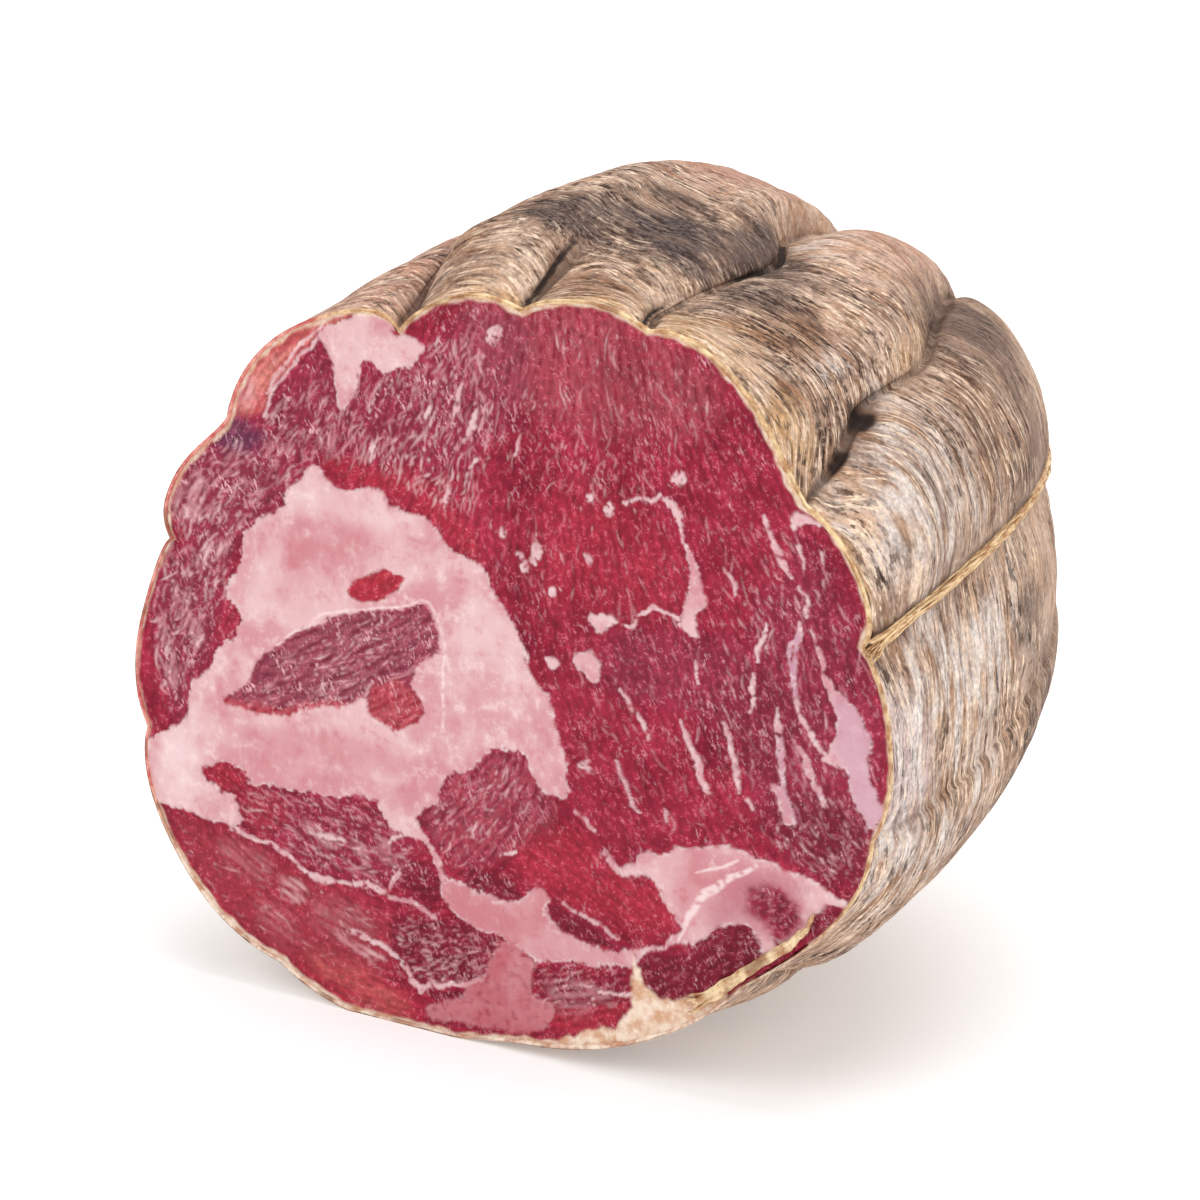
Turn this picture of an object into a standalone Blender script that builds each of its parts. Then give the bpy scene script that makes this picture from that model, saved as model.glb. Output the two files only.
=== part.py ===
"""Cut coppa: the closed end of a cured pork neck in its casing, drawn into lobes by lengthwise ties.

The cut face looks along -Y, the body runs back along +Y, and the piece rests on a flat at z = 0.
Sizes are in metres. Angles are in degrees, from +X toward +Z, about the middle of the cut face.
"""

import math

import bpy
import numpy as np

MM = 0.001

# Driving sizes
BODY_LENGTH = 92.3 * MM
TAPER_START = 12.9 * MM
END_ROUNDNESS_ABOVE = 2.42
END_ROUNDNESS_BELOW = 1.96
END_ROUNDNESS_UNDERNEATH = 3.3
UNDERNEATH_FROM = 0.84
END_DRIFT_X = -1.8 * MM
END_RISE = 3.6 * MM
CUT_TRANSITION = 15.0 * MM
FLOOR_BELOW_FACE_MIDDLE = 53.3 * MM

# Each lengthwise crease that a tie has pressed in, and the lobe from it to the next one:
# angle at the cut, turn of the angle toward the closed end, crease radius at the cut and behind it
# in mm, lobe bulge at the cut and behind it in mm, and the lean of the lobe's crown at the cut.
CREASES = (
    (15.4, 4.1, 56.4, 55.4, 2.4, 6.2, -0.27),
    (35.4, 16.6, 56.0, 55.8, 2.8, 3.8, 0.80),
    (66.3, 11.0, 56.3, 50.4, 1.8, 2.5, 0.76),
    (86.5, 1.5, 51.2, 52.8, 2.2, 6.2, 0.37),
    (109.4, -3.7, 47.4, 50.6, 4.2, 3.1, -0.65),
    (147.0, -1.4, 51.0, 49.0, 2.2, 4.0, 0.78),
    (170.4, 0.0, 52.9, 52.4, 1.5, 4.0, -0.57),
    (198.6, 0.0, 59.5, 57.9, 3.7, 4.0, -0.18),
    (234.0, 0.0, 60.3, 57.9, 0.2, 3.0, 0.80),
    (273.3, 1.2, 51.9, 48.9, 0.3, 2.5, 0.79),
    (315.1, -1.8, 51.5, 52.6, 0.9, 4.4, 0.08),
    (348.3, 5.1, 57.1, 56.4, 1.7, 1.6, -0.04),
)
LOBE_FULLNESS = 2.5
LOBE_HOLD = 1.3

# The strip that the piece has settled onto
BELLY_MIDDLE_X = -5.0 * MM
BELLY_HALF_WIDTH = 17.0 * MM
BELLY_LENGTH = 40.0 * MM
BELLY_RUN_OUT = 16.0 * MM
BELLY_CURVE = 3.0 * MM
BELLY_SINK = 1.5 * MM
BELLY_BLEND = 5.0 * MM
BELLY_GONE_AT_TAPER = 0.65
BELLY_WHOLE_AT_TAPER = 0.92

# The tie that lies in the first crease, over the closed end and part of the way down the crease
# across from it
TIE_RADIUS = 0.9 * MM
TIE_LIFT_IN_CREASE = 2.2 * MM
TIE_LIFT_AT_END = 1.35 * MM
TIE_LIFT_EASES_FROM = 0.6
TIE_CREASES = (0, 7)
TIE_OVERHANG = 1.0 * MM
TIE_LOOSE_END_DEPTH = 22.0 * MM

COLUMNS_PER_LOBE = 9
RINGS = 34
TIE_POINTS_PER_SIDE = 26


def smoothstep(value):
    held = np.clip(value, 0.0, 1.0)
    return held * held * (3.0 - 2.0 * held)


def smooth_lower(a, b, blend):
    """The lower of two heights, with the corner between them rounded."""
    share = np.clip(0.5 + 0.5 * (b - a) / blend, 0.0, 1.0)
    return b * (1.0 - share) + a * share - blend * share * (1.0 - share)


def taper(depth, roundness):
    """Share of the full radius that is left at this depth behind the cut."""
    run = np.clip((depth - TAPER_START) / (BODY_LENGTH - TAPER_START), 0.0, 1.0)
    return np.clip(1.0 - run**roundness, 0.0, 1.0) ** (1.0 / roundness)


def settle(x, depth, height, left):
    """Lowers the underside onto the resting strip and cuts it off flat at the floor."""
    held = smoothstep(depth / CUT_TRANSITION) * smoothstep(
        (left - BELLY_GONE_AT_TAPER) / (BELLY_WHOLE_AT_TAPER - BELLY_GONE_AT_TAPER)
    )
    across = (x - BELLY_MIDDLE_X) / BELLY_HALF_WIDTH
    past = np.clip((depth - BELLY_LENGTH) / BELLY_RUN_OUT, 0.0, None)
    belly = -FLOOR_BELOW_FACE_MIDDLE - BELLY_SINK + BELLY_CURVE * (across**4 + past**2)
    lowered = height + (smooth_lower(height, belly, BELLY_BLEND) - height) * held
    return np.maximum(lowered, -FLOOR_BELOW_FACE_MIDDLE)


def ring(depth):
    """The section at this depth behind the cut, as points about the middle of the cut face."""
    table = np.array(CREASES)
    angle, turn, cut_radius, body_radius, cut_bulge, body_bulge, lean = table.T
    mix = smoothstep(depth / CUT_TRANSITION)
    angle = angle + turn * depth / BODY_LENGTH
    radius = (cut_radius * (1.0 - mix) + body_radius * mix) * MM
    bulge = (cut_bulge * (1.0 - mix) + body_bulge * mix) * MM
    lean = lean * (1.0 - mix)
    lobe = np.repeat(np.arange(len(table)), COLUMNS_PER_LOBE)
    share = np.tile(np.arange(COLUMNS_PER_LOBE) / COLUMNS_PER_LOBE, len(table))
    following = np.roll(angle, -1)
    following[-1] += 360.0
    theta = np.radians(angle[lobe] * (1.0 - share) + following[lobe] * share)
    blend = smoothstep(share)
    base = radius[lobe] * (1.0 - blend) + np.roll(radius, -1)[lobe] * blend
    crown = 1.0 - np.abs(2.0 * share ** (2.0 ** lean[lobe]) - 1.0) ** LOBE_FULLNESS
    below = np.clip(-np.sin(theta), 0.0, 1.0)
    underneath = smoothstep((below - UNDERNEATH_FROM) / (1.0 - UNDERNEATH_FROM))
    roundness = END_ROUNDNESS_ABOVE * (1.0 - below) + END_ROUNDNESS_BELOW * below
    roundness += (END_ROUNDNESS_UNDERNEATH - END_ROUNDNESS_BELOW) * underneath
    left = taper(depth, roundness)
    r = base * left + bulge[lobe] * crown * np.clip(left * LOBE_HOLD, 0.0, 1.0)
    x = r * np.cos(theta) + END_DRIFT_X * depth / BODY_LENGTH
    z = r * np.sin(theta) + END_RISE * depth / BODY_LENGTH
    z = np.where(np.sin(theta) < 0.0, settle(x, depth, z, left), z)
    return np.column_stack((x, np.full_like(x, depth), z))


def ring_depths():
    """Depths of the sections, closer together toward the rounded end."""
    turn = np.linspace(0.0, 0.5 * math.pi, RINGS + 1)[:-1]
    return BODY_LENGTH * np.sin(turn)


def build_meat():
    """The meat in its casing: sections lofted from the cut face to the tip of the closed end."""
    rings = [ring(depth) for depth in ring_depths()]
    columns = len(rings[0])
    tip = (END_DRIFT_X, BODY_LENGTH, END_RISE)
    points = np.vstack(rings + [np.array([tip])])
    faces = [tuple(range(columns))]
    for level in range(len(rings) - 1):
        for column in range(columns):
            beside = (column + 1) % columns
            here = level * columns
            above = here + columns
            faces.append((here + beside, here + column, above + column, above + beside))
    last = (len(rings) - 1) * columns
    for column in range(columns):
        faces.append((last + (column + 1) % columns, last + column, len(points) - 1))
    mesh = bpy.data.meshes.new("coppa")
    mesh.from_pydata(points.tolist(), [], faces)
    mesh.validate()
    return bpy.data.objects.new("coppa", mesh)


def crease_line(index, first_depth):
    """Points along the floor of one crease, from this depth to near the tip."""
    first_turn = math.asin(first_depth / BODY_LENGTH)
    turn = np.linspace(first_turn, 0.5 * math.pi, TIE_POINTS_PER_SIDE + 1)[:-1]
    depths = BODY_LENGTH * np.sin(turn)
    return np.array([ring(depth)[index * COLUMNS_PER_LOBE] for depth in depths])


def lifted(line):
    """The line moved out along its own normal, so that a round tie lies clear of the crease."""
    along = np.gradient(line, axis=0)
    along /= np.linalg.norm(along, axis=1)[:, None]
    outward = line - np.array([END_DRIFT_X, 0.0, END_RISE])
    outward[:, 1] = 0.0
    outward /= np.maximum(np.linalg.norm(outward, axis=1), MM)[:, None]
    outward[:, 1] = smoothstep(line[:, 1] / BODY_LENGTH) ** 2
    normal = outward - along * np.sum(outward * along, axis=1)[:, None]
    normal /= np.linalg.norm(normal, axis=1)[:, None]
    share = line[:, 1] / BODY_LENGTH
    near_end = smoothstep((share - TIE_LIFT_EASES_FROM) / (1.0 - TIE_LIFT_EASES_FROM))[:, None]
    return line + normal * (TIE_LIFT_IN_CREASE * (1.0 - near_end) + TIE_LIFT_AT_END * near_end)


def tie_path():
    """The tie's middle line: up the first crease, over the tip and into the crease across."""
    first_depths = (0.0, TIE_LOOSE_END_DEPTH)
    up, down = (lifted(crease_line(*ends)) for ends in zip(TIE_CREASES, first_depths))
    tip = np.array([[END_DRIFT_X, BODY_LENGTH + TIE_LIFT_AT_END, END_RISE]])
    start = up[:1] - np.array([[0.0, TIE_OVERHANG, 0.0]])
    return np.vstack((start, up, tip, down[::-1]))


def build_tie(path):
    """A round tie along the path, with closed ends."""
    curve = bpy.data.curves.new("tie", "CURVE")
    curve.dimensions = "3D"
    curve.bevel_depth = TIE_RADIUS
    curve.bevel_resolution = 2
    curve.use_fill_caps = True
    spline = curve.splines.new("POLY")
    spline.points.add(len(path) - 1)
    for point, (x, y, z) in zip(spline.points, path):
        point.co = (x, y, z, 1.0)
    return bpy.data.objects.new("twine", curve)


def material(name, colour, roughness):
    made = bpy.data.materials.new(name)
    made.use_nodes = True
    shader = made.node_tree.nodes["Principled BSDF"]
    shader.inputs["Base Color"].default_value = (*colour, 1.0)
    shader.inputs["Roughness"].default_value = roughness
    shader.inputs["Metallic"].default_value = 0.0
    return made


def main():
    for obj in list(bpy.data.objects):
        bpy.data.objects.remove(obj)
    collection = bpy.data.collections.new("coppa")
    bpy.context.scene.collection.children.link(collection)

    meat = build_meat()
    meat.data.materials.append(material("casing", (0.42, 0.34, 0.28), 0.75))
    path = tie_path()
    tie = build_tie(path)
    tie.data.materials.append(material("twine", (0.62, 0.40, 0.19), 0.9))

    points = np.array([vertex.co for vertex in meat.data.vertices])
    middle_x = (points[:, 0].min() + points[:, 0].max()) / 2.0
    middle_y = (path[:, 1].min() + path[:, 1].max() + TIE_RADIUS) / 2.0
    for obj in (meat, tie):
        collection.objects.link(obj)
        obj.location = (-middle_x, -middle_y, FLOOR_BELOW_FACE_MIDDLE)


main()
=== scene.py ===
import math

import bpy
import numpy as np
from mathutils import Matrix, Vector


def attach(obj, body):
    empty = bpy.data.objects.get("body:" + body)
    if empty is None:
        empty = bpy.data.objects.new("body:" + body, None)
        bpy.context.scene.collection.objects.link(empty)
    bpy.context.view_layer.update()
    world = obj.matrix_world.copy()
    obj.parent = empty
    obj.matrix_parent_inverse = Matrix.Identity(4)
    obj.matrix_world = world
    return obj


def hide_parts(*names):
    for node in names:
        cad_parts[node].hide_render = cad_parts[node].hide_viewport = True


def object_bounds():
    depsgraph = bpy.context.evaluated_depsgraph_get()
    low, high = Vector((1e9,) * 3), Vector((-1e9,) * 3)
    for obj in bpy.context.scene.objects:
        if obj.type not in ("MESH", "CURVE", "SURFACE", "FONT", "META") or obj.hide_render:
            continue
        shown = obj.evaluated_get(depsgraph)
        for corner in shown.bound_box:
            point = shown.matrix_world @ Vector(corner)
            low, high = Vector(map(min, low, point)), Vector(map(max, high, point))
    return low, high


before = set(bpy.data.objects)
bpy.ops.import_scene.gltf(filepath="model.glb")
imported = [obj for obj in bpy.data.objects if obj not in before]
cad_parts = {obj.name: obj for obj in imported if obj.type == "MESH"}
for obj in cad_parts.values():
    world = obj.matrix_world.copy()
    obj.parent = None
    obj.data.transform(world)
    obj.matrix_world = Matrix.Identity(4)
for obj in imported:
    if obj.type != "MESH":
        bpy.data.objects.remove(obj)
cad_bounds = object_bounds()

MM = 0.001

# ---- The body's named sizes, in mm, as in the CAD model ----

BODY_LENGTH = 92.3
TAPER_START = 12.9
END_ROUNDNESS_ABOVE = 2.42
END_ROUNDNESS_BELOW = 1.96
END_ROUNDNESS_UNDERNEATH = 3.3
UNDERNEATH_FROM = 0.84
END_DRIFT_X = -1.8
END_RISE = 3.6
CUT_TRANSITION = 15.0
FLOOR_BELOW_FACE_MIDDLE = 53.3
CREASES = (
    (15.4, 4.1, 56.4, 55.4, 2.4, 6.2, -0.27),
    (35.4, 16.6, 56.0, 55.8, 2.8, 3.8, 0.80),
    (66.3, 11.0, 56.3, 50.4, 1.8, 2.5, 0.76),
    (86.5, 1.5, 51.2, 52.8, 2.2, 6.2, 0.37),
    (109.4, -3.7, 47.4, 50.6, 4.2, 3.1, -0.65),
    (147.0, -1.4, 51.0, 49.0, 2.2, 4.0, 0.78),
    (170.4, 0.0, 52.9, 52.4, 1.5, 4.0, -0.57),
    (198.6, 0.0, 59.5, 57.9, 3.7, 4.0, -0.18),
    (234.0, 0.0, 60.3, 57.9, 0.2, 3.0, 0.80),
    (273.3, 1.2, 51.9, 48.9, 0.3, 2.5, 0.79),
    (315.1, -1.8, 51.5, 52.6, 0.9, 4.4, 0.08),
    (348.3, 5.1, 57.1, 56.4, 1.7, 1.6, -0.04),
)
LOBE_FULLNESS = 2.5
LOBE_HOLD = 1.3
BELLY_MIDDLE_X = -5.0
BELLY_HALF_WIDTH = 17.0
BELLY_LENGTH = 40.0
BELLY_RUN_OUT = 16.0
BELLY_CURVE = 3.0
BELLY_SINK = 1.5
BELLY_BLEND = 5.0
BELLY_GONE_AT_TAPER = 0.65
BELLY_WHOLE_AT_TAPER = 0.92

# Where the middle of the cut face lies in the frame
FACE_MIDDLE = np.array((0.624, -46.85, FLOOR_BELOW_FACE_MIDDLE))

# ---- The cut face, in mm about its middle: x to the right, z up ----

FACE_STEP = 0.16
FACE_HALF = 62.0

# How the edges of all patches wander: size of the waves in mm, how far, and a seed
FACE_WARP = ((3.2, 0.5, 11), (1.3, 0.22, 21), (0.62, 0.14, 31))
FACE_RAGGED = ((0.9, 0.20, 41), (0.45, 0.24, 43))
PLAIN_WARP = ((4.0, 0.4, 13),)
CREAM_WARP = ((2.0, 0.4, 321), (0.8, 0.25, 323))

# How far round a patch and a line the grid is worked on, how soft the lines' edges are, and the
# length of a step along the fibres as a share of the grid's step
PATCH_MARGIN = 2.0
LINE_MARGIN = 2.5
LINE_SOFT = 0.12
COMB_STRIDE = 1.4

# Below, an outline is a row of x and z and a line is a row of x, z and width, in tenths of a mm

# The patches of fat
FAT = (
    # the big hooked patch on the left, down to the line that runs into the lower band
    (-443, 23, -424, 50, -403, 89, -407, 112, -387, 135, -353, 160, -328, 170, -337, 189, -312,
     218, -291, 241, -274, 223, -258, 208, -228, 208, -203, 225, -185, 216, -178, 200, -149, 193,
     -116, 197, -105, 179, -78, 158, -49, 148, -24, 143, -20, 114, -3, 100, 15, 75, 35, 35, 51, -5,
     70, -18, 78, -43, 88, -72, 97, -101, 97, -147, 93, -155, 68, -157, 59, -143, 43, -122, 30,
     -103, 13, -101, -3, -103, -16, -105, -37, -126, -58, -147, -74, -151, -97, -168, -103, -201,
     -124, -213, -137, -230, -126, -247, -114, -268, -102, -284, -92, -305, -99, -310, -112, -286,
     -124, -264, -149, -259, -172, -257, -183, -247, -193, -230, -201, -215, -233, -220, -270,
     -232, -303, -230, -337, -230, -370, -236, -399, -243, -403, -232, -412, -220, -437, -215,
     -458, -222, -476, -230, -476, -243, -462, -253, -449, -261, -430, -259, -422, -280, -412,
     -303, -441, -309, -474, -301, -520, -299, -554, -302, -572, -280, -586, -251, -574, -218,
     -549, -201, -528, -184, -505, -170, -501, -147, -495, -118, -478, -101, -462, -76, -445, -51,
     -416, -26, -403, -1),
    # the band low in the middle
    (-96, -304, -83, -310, -45, -313, -16, -322, 5, -322, 26, -313, 34, -301, 47, -290, 63, -293,
     68, -305, 59, -318, 80, -334, 105, -347, 138, -357, 172, -357, 197, -347, 208, -352, 201,
     -368, 163, -376, 126, -384, 76, -384, 55, -397, 34, -388, 18, -376, -20, -368, -60, -366, -88,
     -354, -102, -326),
    # the curl and the leaf on the lower right
    (159, -213, 159, -230, 172, -243, 188, -243, 213, -238, 228, -238, 238, -253, 253, -276, 274,
     -288, 280, -297, 272, -309, 244, -324, 274, -318, 301, -313, 312, -300, 322, -288, 338, -276,
     363, -272, 384, -272, 390, -290, 398, -316, 420, -299, 406, -276, 422, -285, 440, -279, 456,
     -266, 464, -252, 476, -230, 489, -221, 504, -215, 523, -206, 499, -204, 489, -195, 474, -189,
     449, -181, 424, -179, 399, -176, 364, -169, 344, -167, 316, -170, 283, -181, 261, -190, 243,
     -201, 218, -203, 207, -215, 201, -226, 184, -229, 176, -232, 170, -224),
    # top left
    (-258, 439, -245, 446, -203, 466, -174, 472, -158, 454, -162, 435, -144, 442, -124, 433, -116,
     429, -128, 416, -145, 404, -170, 395, -187, 385, -199, 400, -218, 395, -220, 377, -224, 356,
     -237, 339, -243, 318, -253, 327, -255, 352, -260, 381, -268, 400, -274, 410, -286, 416),
    (105, 43, 122, 56, 138, 64, 147, 54, 145, 23, 134, 23, 122, 33),
    (132, 108, 147, 112, 170, 116, 176, 108, 159, 98, 143, 87),
    (63, 39, 78, 43, 88, 33, 78, 20),
    # the wedge-shaped streak right of the middle
    (238, 298, 259, 293, 268, 277, 272, 252, 284, 231, 297, 202, 305, 177, 313, 158, 301, 152, 290,
     138, 297, 112, 284, 114, 268, 127, 276, 142, 272, 152, 284, 173, 286, 198, 280, 227, 268, 260,
     253, 287),
    (436, 309, 448, 313, 464, 309, 480, 305, 466, 301, 450, 301, 442, 292, 437, 291, 438, 301),
    (405, -68, 422, -70, 432, -84, 443, -113, 432, -118, 422, -97),
    # the lilac patch at the right rim
    (478, 101, 490, 75, 506, 50, 506, 21, 487, -19, 503, -20, 518, -17, 523, -48, 538, -77, 562,
     -97, 573, -73, 578, -36, 564, -10, 553, 16, 545, 43, 533, 66, 513, 73, 494, 97),
)

# How soft the edge of each patch of fat is, in mm
FAT_SOFT = (0.2, 0.25, 0.3, 0.25, 0.3, 0.3, 0.3, 0.2, 0.3, 0.3, 0.2)

# The lobe of soft pink fat that opens to the rim at the bottom
BOTTOM_LOBE = (
    -2, -377, 14, -375, 34, -386, 44, -403, 44, -422, 40, -442, 48, -452, 75, -450, 81, -464, 69,
    -486, 40, -502, 2, -507, -19, -506, -53, -510, -92, -516, -118, -517, -124, -509, -116, -496,
    -92, -489, -69, -477, -56, -457, -40, -441, -29, -427, -25, -411, -10, -394,
)

# Lean that lies inside the fat, and how soft its edges are, in mm
ISLANDS = (
    (-243, 64, -237, 79, -214, 98, -187, 110, -162, 112, -151, 102, -162, 83, -187, 66, -208, 58,
     -228, 58),
    (-445, -122, -412, -105, -395, -84, -387, -55, -353, -34, -320, -5, -303, 2, -274, 27, -237,
     39, -199, 48, -166, 56, -145, 66, -126, 77, -116, 75, -110, 60, -101, 41, -97, 18, -99, 8,
     -120, -1, -135, -18, -141, -47, -128, -61, -124, -84, -141, -101, -170, -113, -195, -107,
     -210, -97, -214, -76, -228, -80, -245, -97, -278, -103, -312, -113, -353, -132, -387, -138,
     -403, -132, -441, -132),
    (369, -222, 399, -210, 419, -208, 439, -218, 452, -234, 454, -254, 440, -276, 422, -285, 410,
     -278, 400, -266, 385, -258, 374, -249),
    (-162, 436, -150, 446, -136, 446, -152, 456, -172, 446),
    (166, -224, 176, -216, 188, -226, 178, -231),
    (546, 8, 564, 10, 586, -48, 572, -64, 556, -32),
)
ISLAND_SOFT = (0.2, 0.2, 0.9, 0.3, 0.3, 0.15)

# Thin lines of fat, and the share of their width that is drawn
LINE_WIDTH = 0.8
LINES = (
    (-99, -305, 9, -90, -325, 9, -85, -345, 12),
    (276, -310, 10, 251, -326, 7, 230, -338, 7, 205, -350, 13),
    (184, 275, 5, 203, 282, 4, 226, 287, 6, 238, 298, 8),
    (390, 298, 5, 401, 277, 9, 415, 252, 10, 434, 223, 6),
    (334, 214, 5, 344, 206, 7, 351, 198, 5, 353, 184, 3),
    (447, 264, 5, 451, 243, 5),
    (476, 268, 5, 484, 248, 4),
    (447, 210, 5, 455, 194, 8, 459, 177, 4),
    (449, 164, 7, 442, 135, 12, 435, 106, 19, 439, 68, 9, 451, 39, 7, 465, 10, 9, 488, -11, 6),
    (466, 158, 5, 480, 123, 10, 486, 89, 8, 503, 66, 14),
    (415, 40, 6, 419, 0, 12, 422, -43, 9, 426, -70, 6),
    (397, 152, 4, 390, 124, 7, 384, 98, 4),
    (380, 77, 4, 379, 50, 6, 376, 27, 4),
    (293, 77, 3, 297, 52, 5),
    (184, 12, 5, 205, -13, 9, 226, -43, 5),
    (268, -5, 5, 288, -43, 11, 301, -72, 11, 315, -97, 6),
    (338, 3, 5, 347, -34, 9, 355, -63, 8, 361, -88, 5),
    (372, -93, 6, 382, -105, 5),
    (447, -5, 6, 459, -30, 13, 476, -59, 11, 486, -82, 5),
    (484, -18, 5, 505, -22, 4),
    (109, -168, 5, 124, -176, 6, 140, -188, 5),
    (172, -84, 3, 188, -116, 6, 205, -150, 4),
    (245, -136, 4, 249, -152, 6),
    (1, -253, 4, 18, -247, 6),
    (-97, -5, 5, -98, -50, 6, -96, -90, 5),
    (147, -420, 5, 172, -412, 7, 197, -409, 7),
    (84, -301, 5, 115, -312, 5, 150, -321, 5, 180, -334, 5),
    (-187, -425, 4, -166, -439, 6, -145, -471, 8, -132, -480, 9, -116, -470, 5, -84, -460, 7, -57,
     -455, 7, -31, -434, 3),
    (-245, -418, 7, -224, -420, 9, -199, -423, 8, -170, -436, 6),
    (-437, -309, 9, -399, -316, 7, -366, -322, 6, -337, -330, 7, -320, -343, 8, -291, -353, 9,
     -262, -351, 7, -220, -347, 7, -187, -351, 7, -162, -355, 7, -108, -364, 9),
    (-303, -288, 6, -280, -291, 10, -253, -288, 6),
    (-183, -280, 5, -162, -263, 8),
    (-178, -343, 5, -172, -326, 8, -166, -313, 5),
    (393, -268, 6, 402, -286, 9, 409, -309, 6),
    (-258, 435, 6, -303, 393, 5, -333, 360, 5, -358, 327, 5, -374, 289, 4),
    (-276, 432, 4, -316, 394, 4, -346, 358, 4, -368, 322, 3),
    (-124, 327, 3, -116, 344, 7, -108, 360, 3),
    (-74, 339, 3, -68, 366, 8, -62, 393, 4),
    (-58, 314, 3, -49, 336, 8, -37, 360, 3),
    (-203, 260, 3, -201, 274, 6, -199, 289, 3),
    (-49, 277, 3, -39, 293, 5),
    (-90, 214, 3, -87, 232, 7, -83, 248, 3),
    (15, 310, 3, 22, 326, 7, 30, 340, 3),
    (184, 110, 4, 195, 106, 6, 205, 120, 4, 226, 139, 5, 247, 139, 4, 266, 136, 7),
)

# Round spots of fat: middle and radius in mm
SPOTS = (
    (26.8, 32.3, 0.9), (16.3, 26, 0.7), (13.2, 27.3, 0.4), (3.4, 16, 0.7), (5.3, 18.1, 0.8),
    (0.1, 19.8, 0.5), (13, 18.9, 0.5), (7.6, 13.1, 0.35), (-0.8, 47.2, 0.8), (-1.6, 45.9, 0.6),
    (12.0, -10.2, 0.5), (13.2, -10.9, 0.5), (12.9, -9.4, 0.3), (2.6, 17.2, 0.4), (4.6, 16.9, 0.4),
)

# Films of fat that the lean shows through: cover, softness of the edge in mm, outline
FILMS = (
    (0.75, 0.5, (-362, -368, -333, -359, -303, -380, -328, -397, -358, -388)),
    (0.8, 0.5, (-274, -416, -264, -438, -236, -450, -203, -453, -186, -446, -203, -434, -236, -434,
     -256, -424)),
    (0.7, 0.6, (-486, 192, -468, 188, -466, 158, -472, 126, -492, 114, -502, 132, -494, 164)),
    (0.5, 0.7, (-494, 56, -464, 88, -430, 108, -424, 94, -456, 72, -480, 50)),
    (0.45, 0.6, (-506, 126, -470, 148, -436, 146, -446, 136, -478, 132)),
    (0.7, 0.8, (-434, 304, -422, 334, -396, 354, -382, 328, -388, 300, -408, 292)),
    (0.55, 0.6, (-526, 26, -508, 24, -484, -16, -472, -52, -482, -68, -502, -34)),
    (0.5, 0.6, (-544, -40, -532, -36, -516, -86, -514, -130, -528, -126)),
    (0.5, 0.5, (-318, -266, -294, -274, -262, -308, -276, -312, -308, -288)),
    (0.45, 0.5, (-242, -272, -216, -290, -208, -320, -222, -316, -240, -290)),
    (0.5, 0.5, (-198, -266, -172, -292, -166, -318, -184, -310, -202, -284)),
    (0.4, 0.7, (86, -414, 130, -406, 174, -426, 162, -438, 118, -430)),
    (0.5, 0.6, (-64, 446, -48, 478, -34, 474, -46, 438)),
    (0.55, 0.6, (-274, 258, -266, 286, -254, 280, -262, 256)),
    (0.3, 1.6, (-460, -330, -400, -335, -360, -350, -390, -380, -440, -370)),
    (0.25, 1.8, (-300, -385, -240, -380, -200, -410, -260, -440, -310, -420)),
    (0.2, 1.8, (-400, -400, -340, -410, -320, -450, -370, -460)),
    (0.35, 1.5, (60, -420, 120, -415, 140, -450, 90, -465)),
    (0.4, 1.2, (-528, 130, -504, 180, -486, 170, -508, 110)),
    (0.1, 3.0, (-60, 520, 60, 540, 200, 540, 340, 460, 300, 380, 100, 360, -60, 400)),
    (0.12, 1.0, ISLANDS[1]),
    (0.1, 1.2, (-130, -220, -100, -170, -37, -123, 30, -100, 74, -159, 86, -190, 20, -240, -40,
     -285, -95, -280)),
)

# Slits in the films
FILM_SLITS = (
    (534, -19, 546, -24, 566, -52, 556, -50),
    (-245, -429, -219, -430, -199, -435, -170, -449, -149, -468, -172, -442, -200, -427, -226,
     -425),
)

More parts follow.
